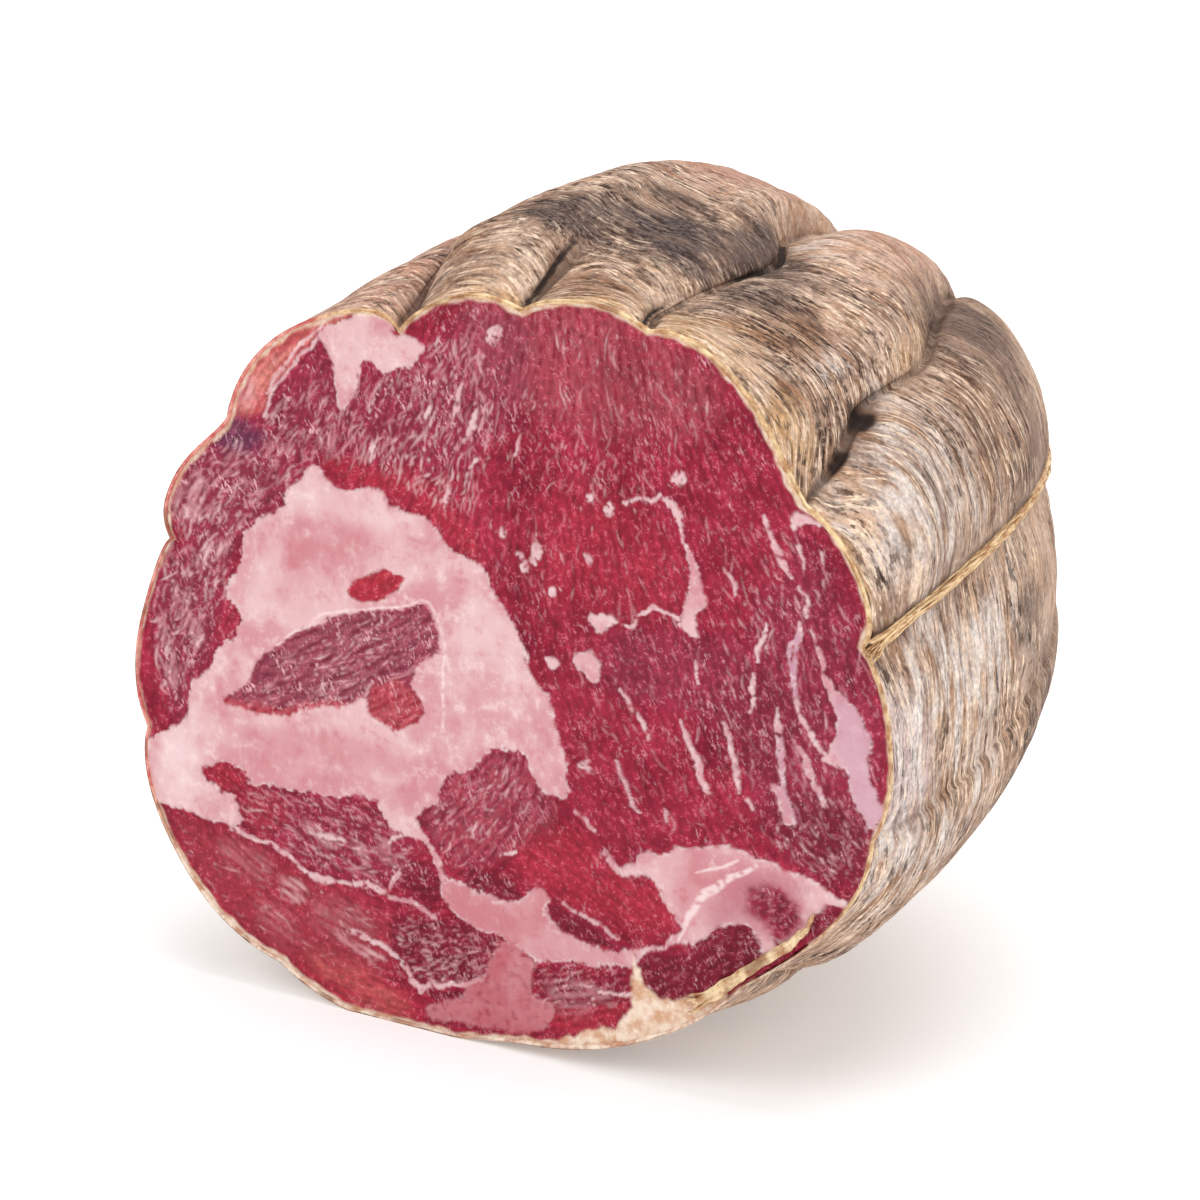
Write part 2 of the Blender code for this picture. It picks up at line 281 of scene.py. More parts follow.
# Zones where the lean or the fat is of another kind: name, strength, softness in mm, outline
TONES = (
    ("purple", 0.9, 0.8, ISLANDS[1]),
    ("purple", 0.25, 1.0, (-130, -220, -100, -170, -60, -145, -37, -123, 0, -100, 30, -100, 50,
     -135, 74, -159, 86, -190, 64, -220, 20, -240, -5, -265, -40, -285, -80, -300, -95, -280, -115,
     -250, -135, -235)),
    ("purple", 0.6, 3.0, (-380, 280, -330, 350, -270, 410, -250, 370, -220, 370, -160, 390, -100,
     440, -30, 510, 40, 500, 40, 400, -10, 330, -80, 265, -200, 265, -290, 260, -330, 190, -390,
     200)),
    ("purple", 0.75, 1.5, (-480, 80, -520, 130, -500, 200, -460, 260, -380, 270, -330, 200, -360,
     155, -420, 100, -450, 20, -460, -60, -500, -120, -510, -180, -545, -120, -555, 0, -520, 70)),
    ("purple", 0.55, 3.5, (400, 200, 450, 280, 520, 200, 570, 80, 570, -80, 550, -180, 450, -160,
     380, -100, 360, 50)),
    ("purple", 0.55, 2.0, (160, 94, 260, 112, 360, 120, 420, 60, 420, -20, 320, 5, 200, 8, 140,
     18)),
    ("purple", 0.45, 2.0, (-395, -240, -300, -240, -190, -220, -140, -270, -160, -340, -260, -350,
     -360, -320, -420, -300)),
    ("purple", 0.5, 2.0, (368, -200, 440, -210, 460, -250, 430, -290, 360, -240)),
    ("dark", 0.75, 0.8, (322, -288, 338, -276, 363, -272, 384, -272, 397, -288, 399, -313, 380,
     -338, 347, -359, 305, -384, 272, -401, 247, -407, 230, -405, 213, -384, 207, -355, 230, -347,
     272, -334, 301, -313)),
    ("dark", 0.6, 3.0, (420, -90, 500, -70, 560, -100, 545, -180, 470, -180, 410, -150)),
    ("dark", 0.7, 0.7, (-178, -380, -99, -368, -3, -376, -20, -418, -41, -443, -83, -459, -128,
     -472, -149, -468, -162, -447, -183, -422)),
    ("dark", 0.65, 0.7, (-149, -288, -108, -300, -87, -334, -120, -347, -162, -343)),
    ("dark", 0.7, 0.5, (-80, -296, -40, -282, 0, -286, 30, -302, 6, -320, -20, -320, -50, -312)),
    ("dark", 0.65, 0.5, (59, -313, 72, -309, 118, -313, 147, -330, 176, -343, 138, -354, 100, -344,
     74, -330)),
    ("dark", 0.7, 0.4, (-126, -474, -80, -467, -55, -463, -70, -480, -110, -490)),
    ("dark", 0.6, 0.8, (478, -224, 522, -212, 512, -247, 476, -276, 459, -293, 468, -256)),
    ("dark", 0.45, 0.9, (380, -208, 420, -216, 444, -244, 426, -272, 394, -244)),
    ("dark", 0.4, 1.2, (-435, 50, -410, 64, -406, 102, -420, 114, -438, 88)),
    ("dark", 0.45, 1.5, (46, -406, 120, -392, 196, -374, 194, -406, 134, -440, 54, -454)),
    ("dark", 0.3, 2.5, (280, 30, 400, 100, 440, 0, 400, -80, 300, -60)),
    ("bright", 0.8, 0.5, ISLANDS[0]),
    ("bright", 0.9, 0.8, (-212, -86, -202, -54, -174, -39, -144, -49, -126, -66, -125, -92, -144,
     -110, -182, -116, -206, -106)),
    ("bright", 0.8, 0.5, (-445, -120, -400, -122, -353, -120, -306, -102, -245, -88, -245, -106,
     -312, -120, -353, -140, -403, -140, -445, -136)),
    ("bright", 0.5, 1.6, (-280, 248, -240, 216, -185, 220, -116, 200, -70, 165, -26, 150, -45, 195,
     -100, 245, -175, 252, -240, 254)),
    ("bright", 0.5, 2.0, (50, -200, 150, -190, 146, -240, 240, -245, 270, -280, 240, -320, 170,
     -320, 100, -300, 30, -285, 10, -250)),
    ("bright", 0.6, 1.5, (-300, -470, -180, -474, -130, -504, -140, -540, -260, -520, -340, -494)),
    ("bright", 0.35, 4.0, (50, 280, 200, 290, 260, 240, 280, 140, 100, 120, 40, 140)),
    ("bright", 0.5, 1.2, (-476, -226, -440, -214, -404, -234, -422, -260, -456, -256)),
    ("bright", 0.4, 1.4, (-430, -270, -386, -244, -330, -250, -340, -280, -390, -310)),
    ("bright", 0.5, 1.0, (44, -464, 140, -450, 196, -414, 184, -450, 140, -476, 80, -494)),
    ("rose", 1.0, 2.0, (-540, -310, -440, -320, -330, -350, -260, -366, -170, -376, -176, -450,
     -220, -480, -300, -500, -400, -470, -490, -390)),
    ("rose", 0.4, 3.0, (-60, 520, 60, 540, 200, 540, 340, 460, 300, 380, 100, 360, -60, 400)),
    ("salmon", 0.9, 0.7, (-248, 444, -276, 426, -310, 392, -340, 356, -366, 320, -383, 284, -432,
     280, -424, 334, -378, 388, -314, 436, -256, 472, -224, 474)),
    ("salmon", 0.3, 1.6, (-319, -455, -263, -460, -199, -471, -160, -499, -144, -521, -200, -526,
     -256, -514, -300, -491)),
    ("blue", 0.8, 1.4, (-464, 256, -434, 224, -388, 234, -364, 266, -406, 280, -446, 276)),
    ("pink", 0.9, 0.6, BOTTOM_LOBE),
    ("pink", 0.95, 0.8, (-30, -502, -4, -484, 12, -492, 36, -478, 64, -466, 80, -480, 30, -516,
     -30, -520)),
    ("white", 0.15, 1.2, (10, -395, 30, -395, 32, -430, 10, -470, 0, -440)),
    ("pink", 0.45, 4.0, (-350, 140, -220, 170, -200, 120, -260, 100, -350, 90)),
    ("pink", 0.4, 3.5, (-440, -190, -300, -170, -140, -190, -160, -220, -300, -210)),
    ("pink", 0.4, 3.0, (240, -200, 300, -185, 310, -220, 260, -260)),
    ("white", 0.5, 2.0, (-550, -210, -500, -180, -480, -130, -500, -200, -540, -270)),
    ("white", 0.45, 2.0, (-420, 10, -380, 90, -340, 120, -360, 40, -380, -10)),
    ("white", 0.15, 2.5, (-90, 40, -30, 90, 10, 30, 40, -60, 20, -90, -60, -40)),
    ("pink", 0.5, 2.5, (-200, -360, -100, -300, 40, -280, 200, -340, 220, -380, 40, -410, -100,
     -380)),
    ("pink", 0.45, 2.0, (240, -220, 340, -190, 400, -200, 360, -260, 280, -290)),
    ("pink", 0.35, 3.0, (-400, 60, -320, 160, -220, 190, -160, 140, -260, 100, -320, 20)),
    ("pink", 0.5, 2.0, (-420, -160, -300, -135, -180, -130, -120, -170, -260, -190, -400, -200)),
    ("mauve", 0.8, 2.5, (310, -300, 320, -250, 360, -205, 420, -185, 470, -200, 440, -240, 400,
     -280, 340, -280)),
    ("white", 0.1, 2.5, (-120, -5, -90, 40, -60, 120, 0, 60, 50, -40, 0, -90, -100, -100)),
    ("white", 0.45, 2.5, (-560, -220, -500, -180, -460, -210, -500, -280, -560, -290)),
    ("white", 0.35, 2.0, (-340, 170, -290, 230, -220, 200, -130, 185, -200, 165)),
    ("lilac", 0.8, 1.5, (486, 80, 540, 74, 584, 0, 584, -120, 520, -90, 500, 0)),
    ("lilac", 1.0, 1.0, (422, 150, 452, 160, 454, 60, 426, 60)),
    ("lilac", 0.6, 1.5, (410, 10, 432, 10, 498, -90, 440, -124, 400, -60)),
)

# Which way the fibres of the lean run: x and z in mm and the angle from +X
GRAIN = (
    -45, 18, 55, -38, 24, 62, -32, 33, 62, -24, 34, 70, -15, 40, 66, -12, 28, 68, -8, 46, 72, -4,
    35, 74, 4, 44, 86, 6, 30, 84, 12, 48, 92, 18, 40, 98, 28, 44, 108, 20, 22, 100, 10, 18, 96, 34,
    34, 116, 40, 24, 118, 30, 10, 104, 50, 18, 110, 44, 8, 96, 54, 6, 112, 20, -2, 122, 34, -4,
    108, 46, -4, 118, 50, -14, 140, 14, -12, 124, 24, -12, 118, 36, -14, 128, 8, -26, 150, 18, -28,
    158, -52, 4, 80, -54, -10, 88, -49, -4, 62, -22, -2, 32, -36, -9, 28, 0, -20, 60, -6, -18, 50,
    -30, -28, 160, -44, -34, 150, -36, -44, 155, -24, -40, 165, -22, -50, 170, -10, -42, 20, 12,
    -42, 20, 30, -33, 35, 48, -24, 60, 40, -24, 50,
)

# Zones with loose threads of fat: threads to the square cm, their length and width in mm, outline
THREADS = (
    (95, 1.7, 0.46, (-380, 220, -360, 310, -260, 360, -220, 370, -160, 385, -80, 460, -30, 440,
     -10, 340, -40, 220, -100, 210, -200, 250, -300, 250, -330, 190)),
    (12, 1.7, 0.34, (-30, 500, 160, 520, 300, 470, 400, 380, 340, 330, 140, 340, 0, 260, -40,
     340)),
    (24, 1.8, 0.38, (20, 400, 100, 420, 220, 380, 220, 280, 100, 260, 0, 280)),
    (12, 1.4, 0.32, (0, 260, 240, 280, 260, 200, 280, 130, 120, 90, 20, 140, -40, 200)),
    (24, 1.8, 0.38, (300, 300, 440, 280, 520, 200, 560, 80, 550, -80, 440, -120, 320, -40, 340,
     140)),
    (12, 1.5, 0.3, (60, 20, 160, 80, 340, 100, 340, -80, 440, -140, 240, -180, 120, -150)),
    (85, 1.6, 0.46, (-540, -140, -560, 0, -530, 80, -480, 180, -420, 250, -360, 200, -420, 100,
     -460, -20, -510, -140)),
    (80, 1.4, 0.42, (-400, -250, -200, -230, -140, -280, -160, -340, -300, -340, -420, -300)),
    (130, 1.2, 0.5, (-180, -380, 0, -380, -40, -450, -140, -470)),
    (60, 1.2, 0.36, (-120, -220, 0, -110, 70, -180, 0, -260, -80, -290)),
    (80, 1.1, 0.36, (-400, -130, -360, -50, -220, 30, -130, 60, -120, -20, -220, -80, -340, -120)),
    (60, 1.2, 0.38, (40, -400, 190, -380, 190, -420, 80, -460, 50, -450)),
    (20, 1.4, 0.32, (-540, -320, -360, -350, -180, -380, -200, -460, -340, -480, -480, -400)),
    (50, 1.3, 0.36, (370, -200, 440, -210, 460, -250, 430, -280, 380, -250)),
    (70, 1.2, 0.38, (420, -90, 500, -70, 560, -100, 545, -180, 470, -180, 410, -150)),
)

# White seams within the fat
SEAMS = (
    (-91, 18, 2.5, -92, -30, 4, -93, -95, 3.5),
    (-360, -33, 2, -324, -5, 3, -305, 5, 2.5, -276, 29, 3, -239, 42, 2.5, -200, 51, 3, -167, 59,
     3.5, -146, 69, 2.5, -126, 80, 3, -113, 78, 3, -104, 61, 3.5, -95, 42, 3, -91, 18, 2.5),
    (266, -324, 3, 273, -302, 7, 286, -276, 10, 312, -240, 12, 348, -210, 10, 387, -187, 4),
    (298, -216, 2, 324, -202, 5, 362, -182, 3),
)

# How deep the gap is that opens beside the torn edge, in mm, and its outline; the gap is also
# painted dark as shade
GAP_DEPTH = 1.3
GAP = (
    464, -280, 474, -286, 458, -308, 436, -332, 406, -364, 375, -382, 342, -388, 368, -363, 403,
    -334, 438, -303,
)


def tenths(values, each=2):
    """Points in mm from a row of numbers in tenths of a mm, so many to the point."""
    return np.reshape(values, (-1, each)) / 10.0


def smoothstep(value):
    held = np.clip(value, 0.0, 1.0)
    return held * held * (3.0 - 2.0 * held)


def noise(x, y, seed, around=0):
    """Gradient noise, about -1 to 1, with cells of size 1, which repeats every `around` cells."""
    turn = np.random.default_rng(seed).uniform(0.0, 2.0 * math.pi, (256, 256))
    x, y = np.broadcast_arrays(np.asarray(x, float), np.asarray(y, float))
    cell_x, cell_y = np.floor(x).astype(int), np.floor(y).astype(int)
    part_x, part_y = x - cell_x, y - cell_y
    corners = []
    for step_y in (0, 1):
        for step_x in (0, 1):
            column = cell_x + step_x
            column = column % around if around else column
            angle = turn[column % 256, (cell_y + step_y) % 256]
            corners.append(np.cos(angle) * (part_x - step_x) + np.sin(angle) * (part_y - step_y))
    across = part_x**3 * (part_x * (part_x * 6.0 - 15.0) + 10.0)
    up = part_y**3 * (part_y * (part_y * 6.0 - 15.0) + 10.0)
    low = corners[0] * (1.0 - across) + corners[1] * across
    high = corners[2] * (1.0 - across) + corners[3] * across
    return 1.5 * (low * (1.0 - up) + high * up)


def rounded(points):
    """The outline with its corners cut, so that it runs in curves."""
    for share in (0.2, 0.3):
        after = np.roll(points, -1, axis=0)
        cut = (points * (1 - share) + after * share, points * share + after * (1 - share))
        points = np.stack(cut, 1).reshape(-1, 2)
    return points


def pairs_round(points):
    """Each point of a closed outline with the next one."""
    return zip(points, np.roll(points, -1, axis=0))


def inside_of(points, x, z):
    inside = np.zeros(np.shape(x), bool)
    for (ax, az), (bx, bz) in pairs_round(points):
        if az != bz:
            inside ^= ((az > z) != (bz > z)) & (x < (bx - ax) * (z - az) / (bz - az) + ax)
    return inside


def off_run(x, z, start, end):
    """How far along a straight run the nearest point to each place is, and the way from there."""
    run_x, run_z = end[0] - start[0], end[1] - start[1]
    along = ((x - start[0]) * run_x + (z - start[1]) * run_z) / max(run_x**2 + run_z**2, 1e-9)
    along = np.clip(along, 0.0, 1.0)
    return along, x - start[0] - along * run_x, z - start[1] - along * run_z


class Raster:
    """Fields over the cut face on a fine square grid, which the mesh then reads."""

    def __init__(self, warp, ragged=()):
        self.count = int(2.0 * FACE_HALF / FACE_STEP) + 1
        line = np.linspace(-FACE_HALF, FACE_HALF, self.count)
        self.x, self.z = np.meshgrid(line, line)
        self.warped_x, self.warped_z = self.x.copy(), self.z.copy()
        for size, amount, seed in warp:
            self.warped_x += amount * self.noise(size, seed)
            self.warped_z += amount * self.noise(size, seed + 1)
        self.ragged = np.zeros(self.x.shape)
        for size, amount, seed in ragged:
            self.ragged += amount * self.noise(size, seed)

    def noise(self, size, seed):
        """Noise with cells of this size in mm."""
        return noise(self.x / size, self.z / size, seed)

    def window(self, points, margin):
        """The part of the grid that holds the points, with a margin."""
        low, high = points.min(axis=0) - margin, points.max(axis=0) + margin
        first = np.floor((low + FACE_HALF) / FACE_STEP).astype(int)
        last = np.ceil((high + FACE_HALF) / FACE_STEP).astype(int) + 1
        first, last = np.clip(first, 0, self.count), np.clip(last, 0, self.count)
        return slice(first[1], last[1]), slice(first[0], last[0])

    def patch(self, field, outline, soft, strength=1.0):
        """Raises the field inside an outline to the strength."""
        points = rounded(tenths(outline))
        box = self.window(points, PATCH_MARGIN + soft)
        x, z = self.warped_x[box], self.warped_z[box]
        nearest = np.full(x.shape, 1e9)
        for start, end in pairs_round(points):
            _, off_x, off_z = off_run(x, z, start, end)
            np.minimum(nearest, off_x**2 + off_z**2, out=nearest)
        depth = np.where(inside_of(points, x, z), 1.0, -1.0) * np.sqrt(nearest) + self.ragged[box]
        cover = strength * smoothstep(0.5 + depth / (2.0 * soft))
        field[box] = np.maximum(field[box], cover)

    def patched(self, patches):
        """A new field with patches on it: each one's outline, softness and perhaps strength."""
        field = np.zeros(self.x.shape)
        for patch in patches:
            self.patch(field, *patch)
        return field

    def line(self, field, points, soft, strength=1.0, cut=1.0):
        """Raises the field along a line, whose points carry its width."""
        points = np.array(points)
        box = self.window(points[:, :2], LINE_MARGIN)
        x, z = self.warped_x[box], self.warped_z[box]
        cover = np.zeros(x.shape)
        for start, end in zip(points[:-1], points[1:]):
            along, off_x, off_z = off_run(x, z, start, end)
            half = 0.5 * (start[2] * (1.0 - along) + end[2] * along)
            off = np.hypot(off_x, off_z)
            cover = np.maximum(cover, smoothstep(0.5 + (half - off) / (2.0 * soft)))
        cover *= cut[box] if np.ndim(cut) else cut
        field[box] = np.maximum(field[box], strength * cover)

    def read(self, field, x, z):
        """The field at these places, between the grid's points."""
        column = np.clip((x + FACE_HALF) / FACE_STEP, 0, self.count - 1.001)
        row = np.clip((z + FACE_HALF) / FACE_STEP, 0, self.count - 1.001)
        left, low = column.astype(int), row.astype(int)
        across, up = column - left, row - low
        below = field[low, left] * (1 - across) + field[low, left + 1] * across
        above = field[low + 1, left] * (1 - across) + field[low + 1, left + 1] * across
        return below * (1 - up) + above * up


def grain_direction(x, z):
    """The way the fibres run at these places, as a unit vector."""
    sine, cosine = np.zeros_like(x), np.zeros_like(x)
    for at_x, at_z, degrees in np.reshape(GRAIN, (-1, 3)):
        double = np.radians(2.0 * degrees)
        weight = 1.0 / (25.0 + (x - at_x) ** 2 + (z - at_z) ** 2) ** 2
        sine += weight * np.sin(double)
        cosine += weight * np.cos(double)
    angle = 0.5 * np.arctan2(sine, cosine)
    return np.cos(angle), np.sin(angle)


def combed(raster, grains, way, steps):
    """Grain smeared along the fibres, and made as strong as plain noise."""
    total = grains.copy()
    for sign in (1.0, -1.0):
        x, z = raster.x.copy(), raster.z.copy()
        for _ in range(steps):
            turn_x, turn_z = raster.read(way[0], x, z), raster.read(way[1], x, z)
            x += sign * turn_x * FACE_STEP * COMB_STRIDE
            z += sign * turn_z * FACE_STEP * COMB_STRIDE
            total += raster.read(grains, x, z)
    total /= 2 * steps + 1
    return total / total.std()


def loose_threads(raster, way, rng):
    """Short curved threads of fat that lie along the fibres."""
    threads = np.zeros_like(raster.x)
    for density, length, wide, outline in THREADS:
        outline = tenths(outline)
        low, high = outline.min(axis=0), outline.max(axis=0)
        at = rng.uniform(low, high, (int(density * np.prod(high - low) / 100.0), 2))
        for x, z in at[inside_of(outline, at[:, 0], at[:, 1])]:
            half = rng.gamma(3.0, length / 3.0) / 2
            turn = math.atan2(raster.read(way[1], x, z), raster.read(way[0], x, z))
            turn += rng.normal(0.0, 0.30)
            bend = rng.normal(0.0, 0.22) * half
            middle = rng.uniform(0.3, 1.0) * wide
            run = np.array((math.cos(turn), math.sin(turn)))
            side = np.array((-run[1], run[0]))
            points = [
                (*(np.array((x, z)) + run * half * share + side * bend * (1 - share**2)),
                 middle * (1.0 - abs(share) ** 2))
                for share in (-1.0, -0.4, 0.2, 1.0)
            ]
            raster.line(threads, points, LINE_SOFT, rng.uniform(0.25, 1.0))
    return threads


def face_fields():
    """Every field of the cut face: fat, its films and threads, kinds of lean, the grain, a painted
    highlight along the fat's edges and painted shade in the gap.
    """
    raster, plain = Raster(FACE_WARP, FACE_RAGGED), Raster(PLAIN_WARP)
    shape = raster.x.shape
    fields = {tone[0]: np.zeros(shape) for tone in TONES}
    for name, strength, soft, outline in TONES:
        raster.patch(fields[name], outline, soft, strength)
    lean = raster.patched(zip(ISLANDS, ISLAND_SOFT))
    fat = raster.patched(zip(FAT, FAT_SOFT))
    broken = smoothstep(0.9 + 1.3 * raster.noise(0.9, 41))
    for points in LINES:
        raster.line(fat, tenths(points, 3) * (1.0, 1.0, LINE_WIDTH), LINE_SOFT, 1.0, broken)
    torn = smoothstep(0.75 + 1.5 * raster.noise(0.55, 43))
    for x, z, radius in SPOTS:
        raster.line(fat, ((x, z, 2.3 * radius), (x + 0.01, z, 2.3 * radius)), 0.25, 0.9, torn)
    for points in SEAMS:
        plain.line(fields["white"], tenths(points, 3), 0.15, 0.8, broken)
    films = raster.patched((outline, soft, strength) for strength, soft, outline in FILMS)
    way = grain_direction(raster.x, raster.z)
    rng = np.random.default_rng(5)
    curl = 1.1 * raster.noise(1.1, 57)
    curled = (way[0] * np.cos(curl) - way[1] * np.sin(curl),
              way[0] * np.sin(curl) + way[1] * np.cos(curl))
    fine = combed(raster, rng.normal(size=shape), curled, 2)
    coarse = combed(raster, raster.noise(0.7, 51), way, 6)
    # lean fibres that run into the fat at its edges
    reach = 0.5 + 0.5 * raster.noise(2.4, 61)
    inlet = raster.patched((outline, 1.3) for outline in FAT[:4])
    edge_zone = 4.0 * inlet * (1.0 - inlet)
    fat *= 1.0 - smoothstep((0.9 * coarse + 0.7 * fine - 1.5) / 0.8) * edge_zone * reach
    rim = np.clip(4.0 * fat * (1.0 - fat), 0.0, 1.0) * (1.0 - lean)
    fat *= 1.0 - lean
    slits = raster.patched((outline, 0.2) for outline in FILM_SLITS)
    films *= smoothstep(0.62 + 0.28 * coarse) * (1.0 - slits)
    soft_fat = raster.patched([(BOTTOM_LOBE, 0.35, 0.95)])
    soft_fat *= smoothstep(0.92 + 0.6 * raster.noise(1.1, 69) + 0.12 * fine)
    films = np.maximum(films, soft_fat)
    coarse *= 1.0 - 0.6 * fields["rose"]
    # painted highlight: a thin whiter border along the edges of the fat, in patches
    fields["edge"] = rim * smoothstep(0.6 + 0.8 * raster.noise(1.6, 63))
    # stripes of lean round the salmon-coloured patches at the rim
    angle = np.arctan2(raster.z, raster.x)
    inward = outline_radius(angle) - np.hypot(raster.x, raster.z)
    stripe = smoothstep(0.5 + 0.9 * noise(inward / 0.75, angle * 6.0, 67))
    fields["bright"] = np.maximum(fields["bright"], fields["salmon"] * (1.0 - stripe))
    fields["salmon"] *= 0.25 + 0.75 * stripe
    # painted shade: the gap beside the torn edge is painted dark, also with the darkest lean tone
    fields["gap"] = raster.patched([(GAP, 0.4)])
    fields["dark"] = np.maximum(fields["dark"], fields["gap"])
    threads = loose_threads(plain, way, rng)
    amount = 0.22 + 0.40 * raster.noise(4.0, 65)
    amount += (0.2 + 0.35 * smoothstep((12.0 - raster.x) / 30.0)) * fields["purple"]
    amount += 0.3 * fields["dark"] + 0.16 * smoothstep((raster.z - 22.0) / 20.0)
    amount -= 0.3 * fields["bright"] + 0.4 * fields["rose"]
    fields["curly"] = np.clip(amount, 0.03, 1.0)
    fleck = smoothstep((fine + 0.4 * coarse - 1.5) / 0.9) * np.clip(amount, 0.03, 0.8) * 0.7
    fields["fleck"] = fleck * (1.0 - fat)
    fields.update(fat=fat, films=films, threads=threads * (1.0 - fat), fine=fine, coarse=coarse)
    return raster, fields


# ---- The body ----

# The power that each lobe's crown is raised to, below 1 for flanks fuller than the CAD model's,
# near the cut and toward the closed end, and from which depth and over what length it changes
FLANK_POWERS = (0.8, 0.5, 0.5, 0.6, 0.5, 0.5, 0.5, 0.5, 0.5, 0.5, 0.5, 0.5)
FAR_FLANK_POWERS = (0.6, 1.4, 1.4, 0.8, 0.5, 0.5, 0.5, 0.5, 0.5, 0.5, 0.5, 0.5)
FLANKS_EASE_FROM = 32.0
FLANKS_EASE_OVER = 26.0

# How much closer together the columns lie at the creases
CREASE_CLOSENESS = 0.6

# How far each crease is filled, as a share of the lower lobe beside it
CREASE_FILLS = (0.5, 0.72, 0.62, 0.6, 0.5, 0.5, 0.5, 0.5, 0.5, 0.5, 0.5, 1.3)

# Where creases wind to one side, where lobes swell and where creases sink: number, degrees or mm,
# at which depth and over what length
CREASE_BENDS = ((1, 3.0, 18.0, 11.0), (1, 2.4, 60.0, 13.0), (2, 2.4, 12.0, 9.0),
                (2, -3.0, 38.0, 9.0), (2, 2.5, 58.0, 11.0), (3, -2.6, 30.0, 16.0))
LOBE_SWELLS = ((1, 0.7, 60.0, 17.0), (2, 2.0, 60.0, 20.0), (0, -0.7, 64.0, 16.0))
CREASE_SINKS = ((1, -2.8, 60.0, 18.0), (2, -3.0, 58.0, 13.0))

# The crease that runs out: its number, from which depth, over what length and within what angle
SPENT_CREASE = 3
SPENT_FROM = 5.0
SPENT_OVER = 22.0
SPENT_WITHIN = 9.0
SPENT_COLUMNS = 34

# How far every point stays inside the CAD model's box
BOX_CLEARANCE = 0.02


def unit(vectors, least=1e-12):
    """The vectors at length 1."""
    return vectors / np.maximum(np.linalg.norm(vectors, axis=-1, keepdims=True), least)


def taper(depth, roundness):
    run = np.clip((depth - TAPER_START) / (BODY_LENGTH - TAPER_START), 0.0, 1.0)
    return np.clip(1.0 - run**roundness, 0.0, 1.0) ** (1.0 / roundness)


def settle(x, depth, height, left):
    """Lowers the underside onto the resting strip and cuts it off flat at the floor."""
    held = smoothstep(depth / CUT_TRANSITION) * smoothstep(
        (left - BELLY_GONE_AT_TAPER) / (BELLY_WHOLE_AT_TAPER - BELLY_GONE_AT_TAPER)
    )
    across = (x - BELLY_MIDDLE_X) / BELLY_HALF_WIDTH
    past = np.clip((depth - BELLY_LENGTH) / BELLY_RUN_OUT, 0.0, None)
    belly = -FLOOR_BELOW_FACE_MIDDLE - BELLY_SINK + BELLY_CURVE * (across**4 + past**2)
    share = np.clip(0.5 + 0.5 * (belly - height) / BELLY_BLEND, 0.0, 1.0)
    lower = belly * (1.0 - share) + height * share - BELLY_BLEND * share * (1.0 - share)
    return np.maximum(height + (lower - height) * held, -FLOOR_BELOW_FACE_MIDDLE)


def add_bumps(values, bumps, depth):
    """Adds to some of the creases' values near some depths."""
    for index, amount, middle, length in bumps:
        values[index] += amount * math.exp(-(((depth - middle) / length) ** 2))


def section(depth, lobe, share):
    """Points of one section: columns that follow the lobes, each at its share of its lobe."""
    angle, turn, cut_radius, body_radius, cut_bulge, body_bulge, lean = np.array(CREASES).T
    mix = smoothstep(depth / CUT_TRANSITION)
    blend = smoothstep(share)

    def blended(values):
        return values[lobe] * (1.0 - blend) + np.roll(values, -1)[lobe] * blend

    angle = angle + turn * depth / BODY_LENGTH
    add_bumps(angle, CREASE_BENDS, depth)
    following = np.roll(angle, -1)
    following[-1] += 360.0
    theta = np.radians(angle[lobe] * (1.0 - share) + following[lobe] * share)
    bulge = cut_bulge * (1.0 - mix) + body_bulge * mix
    add_bumps(bulge, LOBE_SWELLS, depth)
    crown = 1.0 - np.abs(2.0 * share ** (2.0 ** (lean * (1.0 - mix))[lobe]) - 1.0) ** LOBE_FULLNESS
    power = np.array(FLANK_POWERS)[lobe]
    power = power + (np.array(FAR_FLANK_POWERS)[lobe] - power) * smoothstep(
        (depth - FLANKS_EASE_FROM) / FLANKS_EASE_OVER
    )
    crown = crown ** (1.0 + (power - 1.0) * mix)
    fill = np.array(CREASE_FILLS) * mix * np.minimum(bulge, np.roll(bulge, 1))
    add_bumps(fill, CREASE_SINKS, depth)
    fill = blended(fill)
    crown = fill + (bulge[lobe] - fill) * crown
    below = np.clip(-np.sin(theta), 0.0, 1.0)
    underneath = smoothstep((below - UNDERNEATH_FROM) / (1.0 - UNDERNEATH_FROM))
    roundness = END_ROUNDNESS_ABOVE * (1.0 - below) + END_ROUNDNESS_BELOW * below
    roundness += (END_ROUNDNESS_UNDERNEATH - END_ROUNDNESS_BELOW) * underneath
    left = taper(depth, roundness)
    radius = blended(cut_radius * (1.0 - mix) + body_radius * mix)
    radius = radius * left + crown * np.clip(left * LOBE_HOLD, 0.0, 1.0)
    x = radius * np.cos(theta) + END_DRIFT_X * depth / BODY_LENGTH
    z = radius * np.sin(theta) + END_RISE * depth / BODY_LENGTH
    z = np.where(np.sin(theta) < 0.0, settle(x, depth, z, left), z)
    return np.column_stack((x, np.full_like(x, depth), z))


def columns_around(count):
    """Lobe and share of each column round the cut, closer together at the creases."""
    angle = np.array(CREASES)[:, 0]
    lobes, shares = [], []
    for index, wide in enumerate(np.diff(np.append(angle, angle[0] + 360.0))):
        number = max(int(round(count * wide / 360.0)), 4)
        even = np.arange(number) / number
        lobes.append(np.full(number, index))
        shares.append(even - CREASE_CLOSENESS * np.sin(2.0 * math.pi * even) / (2.0 * math.pi))
    return np.concatenate(lobes), np.concatenate(shares)


def even_depths(rows, lobe, share):
    """Depths of sections evenly apart over the surface, from the cut to just short of the tip."""
    depth = BODY_LENGTH * np.sin(np.linspace(0.0, 0.5 * math.pi * 0.9999, 600))
    picked = slice(None, None, 16)
    rings = np.array([section(d, lobe[picked], share[picked]) for d in depth])
    step = np.linalg.norm(np.diff(rings, axis=0), axis=2).mean(axis=1)
    run = np.append(0.0, np.cumsum(step))
    return np.interp(np.linspace(0.0, run[-1] * 0.9995, rows), run, depth), run[-1]


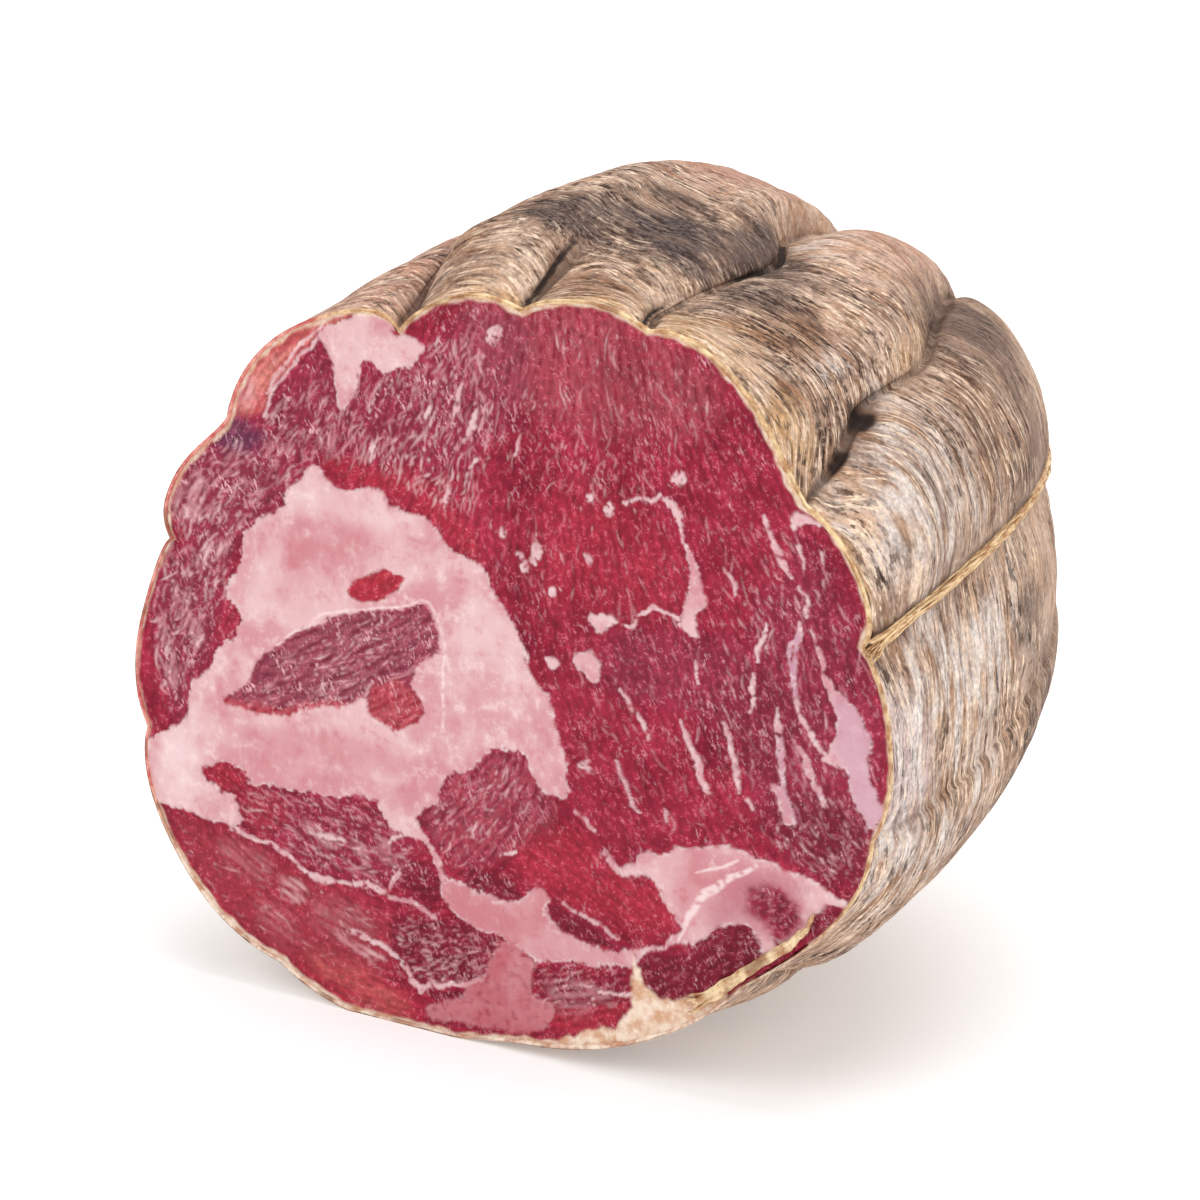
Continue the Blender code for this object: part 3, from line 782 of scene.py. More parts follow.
def grid_normals(points, closed):
    """Outward normals of a grid of points: rows run back along the body, columns round it."""
    if closed:
        across = (np.roll(points, -1, axis=1) - np.roll(points, 1, axis=1)) / 2.0
    else:
        across = np.gradient(points, axis=1)
    return unit(np.cross(np.gradient(points, axis=0), across))


def mesh_piece(name, points, faces, normals, fields, material):
    """A smooth object from points about the cut's middle, with its fields as attributes."""
    low, high = (np.array(corner) / MM for corner in cad_bounds)
    points = np.clip(points + FACE_MIDDLE, low + BOX_CLEARANCE, high - BOX_CLEARANCE)
    mesh = bpy.data.meshes.new(name)
    mesh.from_pydata((points * MM).tolist(), [], faces)
    mesh.polygons.foreach_set("use_smooth", np.ones(len(mesh.polygons), bool))
    for field, values in fields.items():
        kind, key = ("FLOAT_VECTOR", "vector") if values.ndim == 2 else ("FLOAT", "value")
        made = mesh.attributes.new(field, kind, "POINT")
        made.data.foreach_set(key, np.ascontiguousarray(values, np.float32).ravel())
    mesh.update()
    if normals is not None:
        mesh.normals_split_custom_set_from_vertices(normals.tolist())
    mesh.materials.append(material)
    return linked(name, mesh)


def linked(name, data):
    """A new object in the scene."""
    made = bpy.data.objects.new(name, data)
    bpy.context.scene.collection.objects.link(made)
    return made


def quads(rows, columns, closed):
    """Faces of a grid numbered row by row."""
    column = np.arange(columns if closed else columns - 1)
    beside = (column + 1) % columns
    start = np.arange(rows - 1)[:, None] * columns
    corners = (start + beside, start + column, start + columns + column, start + columns + beside)
    return np.stack(corners, -1).reshape(-1, 4)


# ---- Materials ----


class Nodes:
    """A new material, with short ways to make its nodes."""

    def __init__(self, name, constants):
        self.material = bpy.data.materials.new(name)
        self.material.use_nodes = True
        self.tree = self.material.node_tree
        self.inputs = self.tree.nodes["Principled BSDF"].inputs
        for key, value in constants.items():
            self.inputs[key].default_value = value

    def put(self, socket, value):
        """Links or sets a socket. Three numbers for a colour are the colour as it shows."""
        if isinstance(value, bpy.types.NodeSocket):
            self.tree.links.new(value, socket)
        elif socket.type == "RGBA" and len(value) == 3:
            socket.default_value = (*((channel / 255.0) ** 2.2 for channel in value), 1.0)
        else:
            socket.default_value = value

    def add(self, kind, inputs, output=0, **settings):
        """One output of a new node."""
        node = self.tree.nodes.new("ShaderNode" + kind)
        for key, value in settings.items():
            setattr(node, key, value)
        for key, value in inputs.items():
            self.put(node.inputs[key], value)
        return node.outputs[output]

    def place(self):
        return self.add("TexCoord", {}, "Object")

    def field(self, name, output="Fac"):
        return self.add("Attribute", {}, output, attribute_name=name, attribute_type="GEOMETRY")

    def fields(self, names):
        return [self.field(name) for name in names.split()]

    def mix(self, factor, low, high, kind="MIX"):
        """The colour between two colours."""
        return self.add("Mix", {0: factor, 6: low, 7: high}, 2, data_type="RGBA", blend_type=kind,
                        clamp_factor=True)

    def span(self, value, low, high, to_low=0.0, to_high=1.0):
        """The value's place between low and high, smoothed and held there."""
        return self.add("MapRange", {0: value, 1: low, 2: high, 3: to_low, 4: to_high},
                        interpolation_type="SMOOTHSTEP")

    def count(self, kind, *values):
        """A run of steps of arithmetic."""
        total = values[0]
        for value in values[1:]:
            total = self.add("Math", {0: total, 1: value}, operation=kind)
        return total

    def times(self, *values):
        return self.count("MULTIPLY", *values)

    def noise(self, vector, scale, detail=3.0, roughness=0.55):
        """Noise from 0 to 1 over a vector, with one scale or one for each axis."""
        stretch, scale = (scale, 1.0) if isinstance(scale, tuple) else ((1.0, 1.0, 1.0), scale)
        moved = self.add("VectorMath", {0: vector, 1: stretch}, operation="MULTIPLY")
        return self.add("TexNoise", {"Vector": moved, "Scale": scale, "Detail": detail,
                                     "Roughness": roughness})

    def lay(self, colour, *layers):
        """The colour under layers, each with the factors of its cover, and then its tint."""
        for *cover, tint in layers:
            colour = self.mix(self.times(*cover), colour, tint)
        return colour

    def finish(self, colour, height=None, strength=0.0, distance=0.0):
        """The material, with its colour and relief."""
        self.put(self.inputs["Base Color"], colour)
        if height is not None:
            bump = {"Height": height, "Strength": strength, "Distance": distance}
            self.put(self.inputs["Normal"], self.add("Bump", bump))
        return self.material


def meat_material():
    """Moist cured pork: lean of several kinds, fat and thin films and threads of fat, with a
    painted highlight along the fat's edges and painted shade in the gap by the torn edge.
    """
    n = Nodes("cured_pork", {
        "Roughness": 0.48, "Specular IOR Level": 0.12, "Subsurface Weight": 0.08,
        "Subsurface Radius": (1.0, 0.35, 0.25), "Subsurface Scale": 0.0006,
    })
    place = n.place()
    fat, cover, edge, cream, fleck, curly, gap, grain = n.fields(
        "fat cover edge cream fleck curly gap grain"
    )
    rose, purple, dark, bright, salmon, blue = n.fields("rose purple dark bright salmon blue")
    pink, lilac, mauve, white = n.fields("pink lilac mauve white")
    speck, fine = n.noise(place, 1300.0, 2.0, 0.6), n.noise(place, 3000.0, 1.0, 0.5)
    cloud = n.noise(place, 130.0, 4.0, 0.6)
    colour = n.lay(
        n.mix(n.span(cloud, 0.3, 0.7), (128, 23, 46), (162, 43, 67)),
        (rose, 0.6, (158, 58, 68)), (purple, 0.85, (130, 50, 71)), (dark, 0.85, (98, 22, 38)),
        (bright, 0.85, (176, 50, 62)), (salmon, 0.9, (222, 138, 126)), (blue, 0.85, (86, 50, 78)),
    )
    mottle = n.span(speck, 0.25, 0.75, 0.80, 1.20)
    shade = n.times(n.span(grain, -2.4, 2.4, 0.68, 1.26), mottle)
    turned = n.add("VectorRotate", {"Vector": place, "Axis": (0.0, 1.0, 0.0), "Angle": 0.45})
    strokes = n.noise(turned, (2100.0, 2100.0, 950.0), 2.0, 0.55)
    here = n.span(n.noise(place, 420.0), 0.46, 0.62)
    colour = n.lay(
        n.mix(1.0, colour, shade, "MULTIPLY"),
        (n.span(speck, 0.54, 0.70), n.span(fine, 0.42, 0.6), 0.38, (218, 140, 154)),
        (n.span(strokes, 0.53, 0.63), here, curly, 0.9, (232, 180, 188)),
        (fleck, (232, 180, 188)),
    )
    soft, vein = n.noise(place, 120.0, 5.0, 0.55), n.noise(place, 480.0, 4.0, 0.65)
    streak = n.noise(place, (620.0, 620.0, 260.0), 3.0, 0.6)
    fatty = n.lay(
        n.mix(n.span(soft, 0.36, 0.62), (204, 142, 148), (220, 178, 180)),
        (n.span(streak, 0.50, 0.72, 0.0, 0.3), (236, 208, 208)),
        (n.span(vein, 0.52, 0.74, 0.0, 0.55), (238, 210, 208)),
        (n.span(vein, 0.46, 0.28, 0.0, 0.5), (200, 124, 134)),
        (pink, 0.85, (188, 98, 108)), (lilac, 0.7, (190, 142, 164)),
        (mauve, 0.8, (178, 112, 124)), (white, (240, 218, 218)),
    )
    crust = n.mix(n.span(vein, 0.34, 0.66), (208, 162, 130), (240, 220, 200))
    # painted highlight on the edges of the fat, and painted shade in the gap beside the torn edge
    colour = n.lay(colour, (cover, fatty), (fat, fatty), (edge, 0.75, (240, 216, 218)),
                   (gap, 0.85, (70, 14, 24)), (cream, crust))
    n.put(n.inputs["Roughness"], n.span(speck, 0.3, 0.7, 0.38, 0.58))
    return n.finish(colour, n.count("ADD", speck, n.times(fine, 0.5)), 0.5, 0.0002)


def casing_material():
    """Dry natural casing: grey-beige, with pale bloom, brown fibres and dark mottles, painted
    highlights on its fibre ridges and painted shade in the low places between them, in its
    creases, pits and wrinkle valleys, and beside the tie.
    """
    n = Nodes("dry_casing", {"Roughness": 0.75, "Specular IOR Level": 0.25})
    along, other, place = n.field("fibre", "Vector"), n.field("strand", "Vector"), n.place()
    groove, shade, slate, golden, bloom = n.fields("groove shade slate golden bloom")
    blush, brown, violet, smooth, specks = n.fields("blush brown violet smooth specks")
    patch = n.noise(place, 85.0, 5.0, 0.62)
    streak = n.noise(other, (0.11, 0.11, 0.42), 4.0, 0.6)
    wisp = n.noise(along, (0.24, 0.24, 2.0), 3.0, 0.65)
    blotch = n.noise(other, (0.14, 0.14, 0.24), 5.0, 0.65)
    speck = n.noise(along, (1.2, 1.2, 1.8), 3.0, 0.65)
    hair = n.span(n.noise(along, (0.15, 0.15, 1.2), 3.0, 0.6), 0.53, 0.575)
    thread = n.span(n.noise(other, (0.26, 0.26, 1.6), 3.0, 0.6), 0.54, 0.585)
    darkening = n.span(n.noise(place, 700.0, 3.0, 0.6), 0.40, 0.54, 0.25, 1.0)
    grit = n.span(n.noise(place, 1500.0, 2.0, 0.6), 0.3, 0.7, 0.80, 1.17)
    rough = n.count("SUBTRACT", 1.0, smooth)
    dull = n.times(n.count("SUBTRACT", 1.0, slate), n.count("SUBTRACT", 1.0, n.times(brown, 0.7)))
    clump_and_shade = n.times(n.span(blotch, 0.36, 0.62, 0.35, 1.0), n.span(bloom, 0.5, 1.0, 1.0, 0.8),
                    rough, darkening)
    browner = n.count("ADD", clump_and_shade, n.times(brown, 0.3))
    # painted highlight on the raised fibre ridges, where the wisps are low
    ridge_highlight = n.times(n.span(wisp, 0.47, 0.39), n.count("ADD", dull, 0.12), rough)
    where = n.count("MAXIMUM", specks, n.span(blotch, 0.56, 0.66, 0.0, 0.2))
    spots = n.times(n.span(speck, 0.50, 0.58), where, n.count("MAXIMUM", rough, specks))
    dots = n.times(n.span(speck, 0.50, 0.60), slate, n.span(blotch, 0.42, 0.56))
    colour = n.lay(
        n.mix(n.span(patch, 0.34, 0.66), (147, 109, 84), (200, 162, 134)),
        (brown, 0.9, (140, 98, 70)), (blush, 0.95, (182, 130, 107)),
        (golden, 0.9, (206, 158, 106)), (violet, 0.6, (206, 188, 198)),
        (n.span(streak, 0.36, 0.62), bloom, dull, (233, 220, 213)),
        (n.span(blotch, 0.30, 0.50, 0.7, 1.0), slate, (84, 72, 72)), (ridge_highlight, (236, 208, 182)),
        # painted shade: the low places between the fibre ridges are painted dark brown, in patches
        (n.span(wisp, 0.53, 0.64), 0.75, clump_and_shade, (98, 68, 50)),
        (hair, 0.95, browner, (58, 37, 28)), (thread, 0.85, browner, (58, 37, 28)),
        (spots, 0.9, (66, 44, 36)), (dots, 0.9, (30, 26, 28)),
    )
    # painted shade: darker by the creases and the tie, and near black in the crease lines, pits,
    # wrinkle valleys and a band behind the cut low on the right
    colour = n.lay(n.mix(1.0, colour, grit, "MULTIPLY"), (shade, 0.7, (98, 70, 54)),
                   (groove, 0.95, (34, 20, 16)))
    height = n.count("SUBTRACT", streak, n.times(hair, 0.35), n.times(thread, 0.25),
                     n.times(wisp, 0.6))
    return n.finish(colour, n.times(height, n.count("ADD", rough, 0.15)), 0.6, 0.0003)


def edge_material():
    """The cut edge of the casing: golden, cream or flesh-coloured."""
    n = Nodes("casing_edge", {
        "Roughness": 0.55, "Subsurface Weight": 0.1, "Subsurface Radius": (1.0, 0.6, 0.3),
        "Subsurface Scale": 0.0006,
    })
    place = n.place()
    cream, flesh = n.fields("cream flesh")
    patch = n.noise(place, 520.0, 4.0, 0.65)
    tone = n.span(patch, 0.32, 0.66)
    colour = n.lay(
        n.mix(tone, (168, 112, 66), (240, 210, 162)),
        (cream, n.mix(tone, (190, 136, 108), (244, 226, 206))),
        (flesh, n.mix(tone, (196, 84, 84), (232, 164, 150))),
        (n.span(n.noise(place, 140.0, 3.0, 0.6), 0.53, 0.67, 0.0, 0.7), (128, 78, 48)),
    )
    return n.finish(colour, patch, 0.6, 0.0003)


def twine_material():
    """Undyed natural fibre, golden, darker between the fibres."""
    n = Nodes("natural_fibre", {"Roughness": 0.82, "Sheen Weight": 0.2})
    tone = n.noise(n.field("fibre", "Vector"), (0.35, 2.6, 2.6), 4.0, 0.65)
    colour = n.mix(n.span(tone, 0.36, 0.64), (168, 112, 62), (246, 214, 164))
    return n.finish(colour, tone, 0.5, 0.0002)


# ---- The casing ----

CASING_COLUMNS = 744
CASING_ROWS = 256
CASING_PARTS = 3
EDGE_PROUD = 0.25

# Cells of noise round the casing
CELLS = 40

# How deep each crease is drawn in beyond the CAD model's, at the cut and behind it, its width, and
# how far back it is as deep as at the cut, in mm. The depth also sets how dark the painted shade
# along the crease is.
CREASE_DRAW = (
    (0.0, 0.0, 0.8, 60), (1.0, 0.5, 0.3, 30), (1.0, 0.45, 0.3, 20), (1.1, 0.0, 0.34, 14),
    (1.3, 0.9, 0.7, 20), (0.9, 0.8, 0.8, 30), (0.9, 0.8, 0.8, 30), (0.9, 0.6, 0.8, 30),
    (0.5, 0.8, 0.9, 30), (0.4, 0.8, 0.9, 30), (0.6, 0.8, 0.9, 30), (0.4, 0.15, 0.8, 16),
)
CREASE_WANDER = 0.7

# How far the fibres turn toward the cut beside each of these creases, over what width
CREASE_GATHERS = ((1, 5.0, 5.0), (2, 3.0, 4.0), (3, 2.5, 4.0), (4, 2.5, 4.0))

# How far the casing comes up to the tie that lies in the first crease, and over what width
TIE_BED = 0.55
TIE_BED_WIDTH = 1.9

# Short pits where the casing is pinched, each also painted dark as shade: angle, depth, half
# length back and half width, how deep
PINCHES = ((34.9, 17.5, 2.8, 1.25, 2.4), (35.0, 9.0, 4.5, 0.8, 1.0), (67.5, 7.0, 9.0, 0.55, 1.2),
           (87.3, 8.0, 10.0, 0.6, 1.4), (66.4, 33.0, 7.0, 0.6, 0.9), (66.2, 47.0, 9.0, 0.35, 0.7))

# Zones of colour on the casing: field, strength, angle and depth of the middle, half sizes
# in degrees and mm
CASING_ZONES = (
    ("slate", 0.95, 80, 30, 14, 15), ("slate", 0.85, 92, 22, 9, 13),
    ("slate", 0.9, 70, 36, 12, 14), ("slate", 0.7, 60, 29, 9, 11), ("slate", 0.7, 33, 56, 10, 20),
    ("slate", 0.35, 22, 54, 8, 14), ("slate", 0.4, 22, 88, 20, 14),
    ("slate", 0.5, 340, 58, 14, 22), ("golden", 0.8, 70, 1, 14, 2.5),
    ("golden", 0.9, 50, 0.5, 16, 2.5), ("golden", 0.8, 43, 4, 6, 7), ("golden", 0.6, 60, 8, 12, 7),
    ("golden", 0.7, 97, 0.5, 18, 2.5), ("golden", 0.5, 24, 0.5, 12, 2),
    ("golden", 0.5, 38, 40, 3, 14), ("blush", 1.0, 90, 62, 20, 18),
    ("blush", 1.0, 122, 12, 20, 20), ("blush", 0.5, 104, 34, 8, 14),
    ("blush", 0.8, 48, 66, 14, 16), ("brown", 0.9, 50, 19, 9, 13), ("brown", 0.85, 45, 9, 6, 8),
    ("blush", 0.5, 54, 50, 10, 10), ("brown", 0.75, 78, 8, 9, 7), ("brown", 0.6, 104, 16, 12, 16),
    ("brown", 0.5, 28, 34, 8, 14), ("brown", 0.35, 90, 66, 16, 14),
    ("brown", 0.2, 336, 40, 14, 40), ("brown", 0.4, 150, 50, 30, 40), ("bloom", 1.0, 43, 20, 4, 8),
    ("bloom", 0.5, 60, 50, 8, 10), ("bloom", 0.9, 27, 16, 12, 24), ("bloom", 1.0, 2, 18, 15, 30),
    ("bloom", 1.0, 346, 14, 14, 24), ("bloom", 0.5, 300, 60, 40, 40),
    ("bloom", 0.7, 200, 50, 40, 40), ("violet", 0.9, 358, 5, 12, 9),
    ("specks", 1.0, 48, 14, 4.5, 5), ("specks", 1.0, 41, 19, 2.5, 4),
    ("specks", 0.9, 29, 28, 4, 4.5), ("smooth", 0.75, 26, 11, 4, 5), ("slate", 0.55, 1, 47, 5, 10),
    # the last zone is a band of painted shade just behind the cut, low on the right
    ("specks", 0.9, 88, 18, 9, 9), ("groove", 0.85, 300, 2.2, 9, 1.4),
)


def wrap_angle(angle):
    return (angle + 180.0) % 360.0 - 180.0


def ridged(value, width=0.42):
    """1 along the middle lines of a noise, falling to 0 beside them."""
    return np.clip(1.0 - np.abs(value) / width, 0.0, 1.0) ** 2


def bell(off):
    return np.exp(-(off**2))


def crease_distance(index, lobe, share, width):
    """Degrees from one crease, where the lobes beside it reach, and far off elsewhere."""
    after = np.where(lobe == index, share * width, 1e3)
    before = np.where((lobe + 1) % len(CREASES) == index, (share - 1.0) * width, 1e3)
    return np.where(np.abs(after) < np.abs(before), after, before)


def without_spent_crease(points, spent):
    """The sections with one crease smoothed away behind where it runs out."""
    shift = np.arange(1 - SPENT_COLUMNS, SPENT_COLUMNS)
    part = 0.5 + 0.5 * np.cos(math.pi * shift / SPENT_COLUMNS)
    soft = sum(each * np.roll(points, int(by), axis=1) for each, by in zip(part, shift))
    return points + (soft / part.sum() - points) * spent[..., None]


def crease_depth(distance, run, wander):
    """How far the creases draw the casing in, how dark the painted shade lines along them are, and
    the painted shade beside them.
    """
    drawn, line, shade = (np.zeros_like(distance(0)) for _ in range(3))
    for index, (at_cut, behind, wide, held) in enumerate(CREASE_DRAW):
        off = distance(index) + CREASE_WANDER * wander[index] * smoothstep(run / 12.0)
        amount = at_cut + (behind - at_cut) * smoothstep((run - 0.4 * held) / held)
        amount = amount * (0.75 + 0.25 * wander[index - 1])
        drawn = np.maximum(drawn, amount * np.exp(-((np.abs(off) / wide) ** 1.25)))
        # a thin dark line of painted shade along each crease
        line = np.maximum(line, np.clip(amount, 0.0, 1.2) * bell(off / 0.26))
        shade = np.maximum(shade, np.clip(amount, 0.0, 1.0) * np.exp(-np.abs(off) / 1.1))
    return drawn * (0.1 + 0.9 * smoothstep(run / 1.8)), line, shade


def casing_shape():
    """The casing's points, normals and fields: rows back along the body, columns round it."""
    lobe, share = columns_around(CASING_COLUMNS)
    depths, length = even_depths(CASING_ROWS, lobe, share)
    base = np.array([section(depth, lobe, share) for depth in depths])
    run = np.linspace(0.0, length, CASING_ROWS)[:, None]
    table = np.array(CREASES)
    width = np.diff(np.append(table[:, 0], table[0, 0] + 360.0))[lobe]
    spent = bell(crease_distance(SPENT_CREASE, lobe, share, width) / SPENT_WITHIN)
    spent = spent * smoothstep((depths[:, None] - SPENT_FROM) / SPENT_OVER)
    base = without_spent_crease(base, spent)
    angle = table[lobe, 0] + width * share + np.zeros_like(run)
    radius = np.linalg.norm(base[..., (0, 2)], axis=2)
    around = angle / 360.0 * CELLS

    def distance(index):
        """How far round the casing each point is from a crease, in mm."""
        return np.radians(crease_distance(index, lobe, share, width)) * radius

    def waves(along, long, seed, wide=1.0, finer=1.0):
        """Noise that closes round the casing, over cells so wide, and so long in mm."""
        return noise(around * finer / wide, along / long, seed, int(CELLS * finer / wide))

    # the way the dry fibres run, and two sets of them
    slant = 4.2 * waves(run, 22.0, 101, 5.0) + 1.4 * waves(run, 11.0, 102, 2.0)
    slant += 0.45 * waves(run, 3.6, 107)
    for index, pull, reach in CREASE_GATHERS:
        slant += pull * bell(np.abs(distance(index)) / reach)
    across = run + slant
    other = run + 0.6 * slant + 2.6 * waves(run, 12.0, 108, 2.0)

    # wrinkles
    lumps = waves(across, 9.0, 103, 2.0)
    calm = smoothstep(0.5 + 0.9 * waves(run, 13.0, 109, 2.5))
    broad = ridged(waves(across, 4.6, 104), 0.3)
    mid = ridged(waves(across, 2.3, 105, finer=2.0), 0.35)
    thin = ridged(waves(other, 1.3, 106, finer=3.0))
    wrinkle = (0.20 * broad + 0.14 * mid + 0.10 * thin) * (0.15 + 0.85 * calm)
    tight = smoothstep(run / 3.0)
    drawn = 0.5 * (0.5 + 0.5 * lumps) + wrinkle * (0.35 + 0.65 * tight)

    # creases, pits and the bed of the tie
    wander = [noise(run / 11.0, 7.3 * index, 120) for index in range(len(CREASE_DRAW))]
    crease, line, shade = crease_depth(distance, run, wander)
    pits = np.zeros_like(line)
    jagged = 0.3 * waves(run, 1.2, 113, finer=3.0)
    for at_angle, at_run, back, side, deep in PINCHES:
        off = np.radians(wrap_angle(angle - at_angle)) * radius / side
        off = np.hypot(off, (run - at_run) / back)
        crease = crease + deep * bell(off) * 0.6
        pits = np.maximum(pits, smoothstep((1.0 - off + jagged) / 0.5))
    crown = 1.0 - np.abs(2.0 * share - 1.0) ** LOBE_FULLNESS
    sunk = 0.26 * table[lobe, 5] * (1.0 - crown) * (1.0 - spent) + crease
    sunk *= smoothstep(run / 6.0)
    valley = smoothstep((sunk - 0.9) / 1.4)
    bed = bell(distance(0) / TIE_BED_WIDTH) * smoothstep(run / 4.0)
    drawn = drawn * (1.0 - 0.8 * bed) - TIE_BED * bed
    drawn = drawn * (1.0 - 0.8 * valley) + crease * smoothstep((length - run) / 10.0)
    drawn *= 0.15 + 0.85 * smoothstep((base[..., 2] + FLOOR_BELOW_FACE_MIDDLE) / 1.5)
    normal = grid_normals(base, True)
    points = base - normal * drawn[..., None]
    points[0] = base[0] - normal[0] * (0.25 * drawn[0])[:, None]
    points[0, :, 1] = -EDGE_PROUD

    # colours
    broken = smoothstep(0.7 + 0.9 * waves(run, 7.0, 130, 2.0))
    beside = np.abs(distance(0))
    # painted shadow: a thin dark line each side of the tie
    tie_shadow = bell((beside - 1.0) / 0.5) * 0.6 * smoothstep(run / 2.0)
    # painted shade in the wrinkle valleys, darkest where the wrinkles cross
    darkening = np.clip(1.6 * mid * broad + 0.5 * thin * mid, 0.0, 1.0) * 0.22 * tight
    # these dark lines are all painted shade: the crease lines, the shadow by the tie, the pits and
    # the wrinkle valleys
    shade_line_parts = line * (0.35 + 0.65 * broken), tie_shadow * (0.4 + 0.6 * broken), pits, darkening
    uneven = 0.45 * noise(around / 3.0, run / 15.0, 112, 13)
    smooth = np.clip(0.1 + 0.6 * smoothstep((run - 40.0) / 26.0) + uneven, 0.0, 0.85)
    fields = {zone[0]: np.zeros_like(radius) for zone in CASING_ZONES}
    fields["groove"] = np.maximum.reduce(shade_line_parts)
    fields["shade"] = np.maximum(np.maximum(shade, valley), 0.5 * np.exp(-beside / 1.6)) * tight
    fields["bloom"] = np.full_like(radius, 0.22)
    fields["smooth"] = np.maximum(smooth, valley)
    rough = 0.40 * waves(run, 7.0, 110, 2.0) + 0.28 * waves(run, 2.5, 111, finer=2.0)
    for name, strength, at_angle, at_depth, wide_angle, wide_depth in CASING_ZONES:
        off = np.hypot(wrap_angle(angle - at_angle) / wide_angle, (run - at_depth) / wide_depth)
        fields[name] = np.maximum(fields[name], strength * smoothstep(1.25 - off + rough))
    held, turned = np.maximum(radius, 20.0), np.radians(angle)
    for name, back in (("fibre", across), ("strand", other)):
        fields[name] = np.stack((held * np.cos(turned), held * np.sin(turned), back), -1)
    return points, grid_normals(points, True), fields


def build_casing(material):
    """The casing in strips, each from the cut to the tip."""
    points, normals, fields = casing_shape()
    rows, columns = points.shape[:2]
    tip = points[-1].mean(axis=0)
    pieces = []
    for index in range(CASING_PARTS):
        first, last = (part * columns // CASING_PARTS for part in (index, index + 1))
        picked = np.arange(first, last + 1) % columns
        wide = len(picked)
        part = np.vstack((points[:, picked].reshape(-1, 3), tip))
        turned = np.vstack((normals[:, picked].reshape(-1, 3), (0.0, 1.0, 0.0)))
        last = (rows - 1) * wide + np.arange(wide - 1)
        closing = np.column_stack((last + 1, last, np.full_like(last, rows * wide)))
        faces = quads(rows, wide, False).tolist() + closing.tolist()
        own = {}
        for name, values in fields.items():
            values = values[:, picked].reshape(-1, *values.shape[2:])
            own[name] = np.concatenate((values, values[-1:]))
        pieces.append(mesh_piece(f"casing_{index + 1}", part, faces, turned, own, material))
    return pieces


# ---- The cut face, its edge and the tie ----

FACE_CELLS = 484
FACE_PARTS = 3
FACE_INSET = 0.08
LEAN_SUNK = 0.16
EDGE_COLUMNS = 1500

# How wide the cream or golden rim of the cut is: angle and width in mm
RIM_WIDTHS = (
    0, 0.5, 14, 0.6, 16, 1.2, 20, 0.6, 34, 0.8, 38, 1.4, 46, 1.1, 55, 0.8, 66, 0.9, 76, 0.7, 86,
    1.2, 92, 0.8, 104, 0.7, 112, 0.7, 116, 0.9, 130, 0.8, 146, 0.9, 150, 1.0, 165, 0.8, 172, 0.6,
    190, 0.4, 206, 0.4, 218, 0.7, 232, 0.9, 246, 0.7, 262, 0.6, 275, 0.8, 285, 1.5, 297, 1.2, 306,
    0.7, 315, 0.3, 332, 0.3, 345, 0.4, 360, 0.5,
)

# The meat that has dried to cream low in the rim, as a row of x and z in tenths of a mm
CREAM = (
    201, -351, 199, -380, 199, -422, 184, -447, 176, -463, 138, -472, 113, -484, 105, -515, 240,
    -490, 300, -445, 340, -398, 346, -376, 334, -372, 273, -399, 247, -407, 230, -401, 213, -384,
)

# The rows of the cut edge, from inside to outside: how far in and how far forward, as shares
EDGE_ROWS = ((1.0, -0.35), (0.96, 0.0), (0.85, 0.7), (0.6, 1.0), (0.3, 1.0), (0.08, 0.85),
             (0.0, 0.4))

# The torn strip of casing that lies across the meat at the lower right, as a row of x, z and width
# in tenths of a mm, and its strands
TORN_EDGE = (
    476, -228, 3, 462, -258, 4, 439, -282, 5, 412, -303, 5, 386, -324, 5, 358, -348, 6, 332, -372,
    8, 306, -392, 10, 276, -409, 9,
)
TORN_STRANDS = 9
TORN_STEPS = 90
TORN_CREAM = 0.12


def outline_radius(angle):
    """Radius of the cut's outline at these angles."""
    ring = section(0.0, *columns_around(1440))
    turn, radius = np.arctan2(ring[:, 2], ring[:, 0]), np.hypot(ring[:, 0], ring[:, 2])
    wrapped = (angle + math.pi) % (2.0 * math.pi) - math.pi
    return np.interp(wrapped, turn, radius, period=2.0 * math.pi)


def rim_width(degrees):
    return np.interp(degrees, *np.reshape(RIM_WIDTHS, (-1, 2)).T)


def disc_grid(cells):
    """A square grid bent evenly into a disc of radius 1, as radius and angle."""
    line = np.linspace(-1.0, 1.0, cells + 1)
    a, b = np.meshgrid(line, line)
    wide = np.abs(a) > np.abs(b)
    radius = np.where(wide, a, b)
    with np.errstate(divide="ignore", invalid="ignore"):
        angle = np.where(wide, 0.25 * math.pi * b / a, 0.5 * math.pi - 0.25 * math.pi * a / b)
    angle = np.where(radius == 0.0, 0.0, angle)
    return np.abs(radius), np.where(radius < 0.0, angle + math.pi, angle)


def cream_edge(x, z):
    """How far the meat has dried to cream beside the casing."""
    angle = np.arctan2(z, x)
    inward = outline_radius(angle) - np.hypot(x, z)
    width = rim_width(np.degrees(angle) % 360.0) * (1.1 + 0.5 * noise(x / 2.2, z / 2.2, 311))
    beside = smoothstep(0.5 + (width - inward) / 0.5) * 0.9
    raster = Raster(CREAM_WARP)
    return np.maximum(beside, raster.read(raster.patched([(CREAM, 0.3)]), x, z))


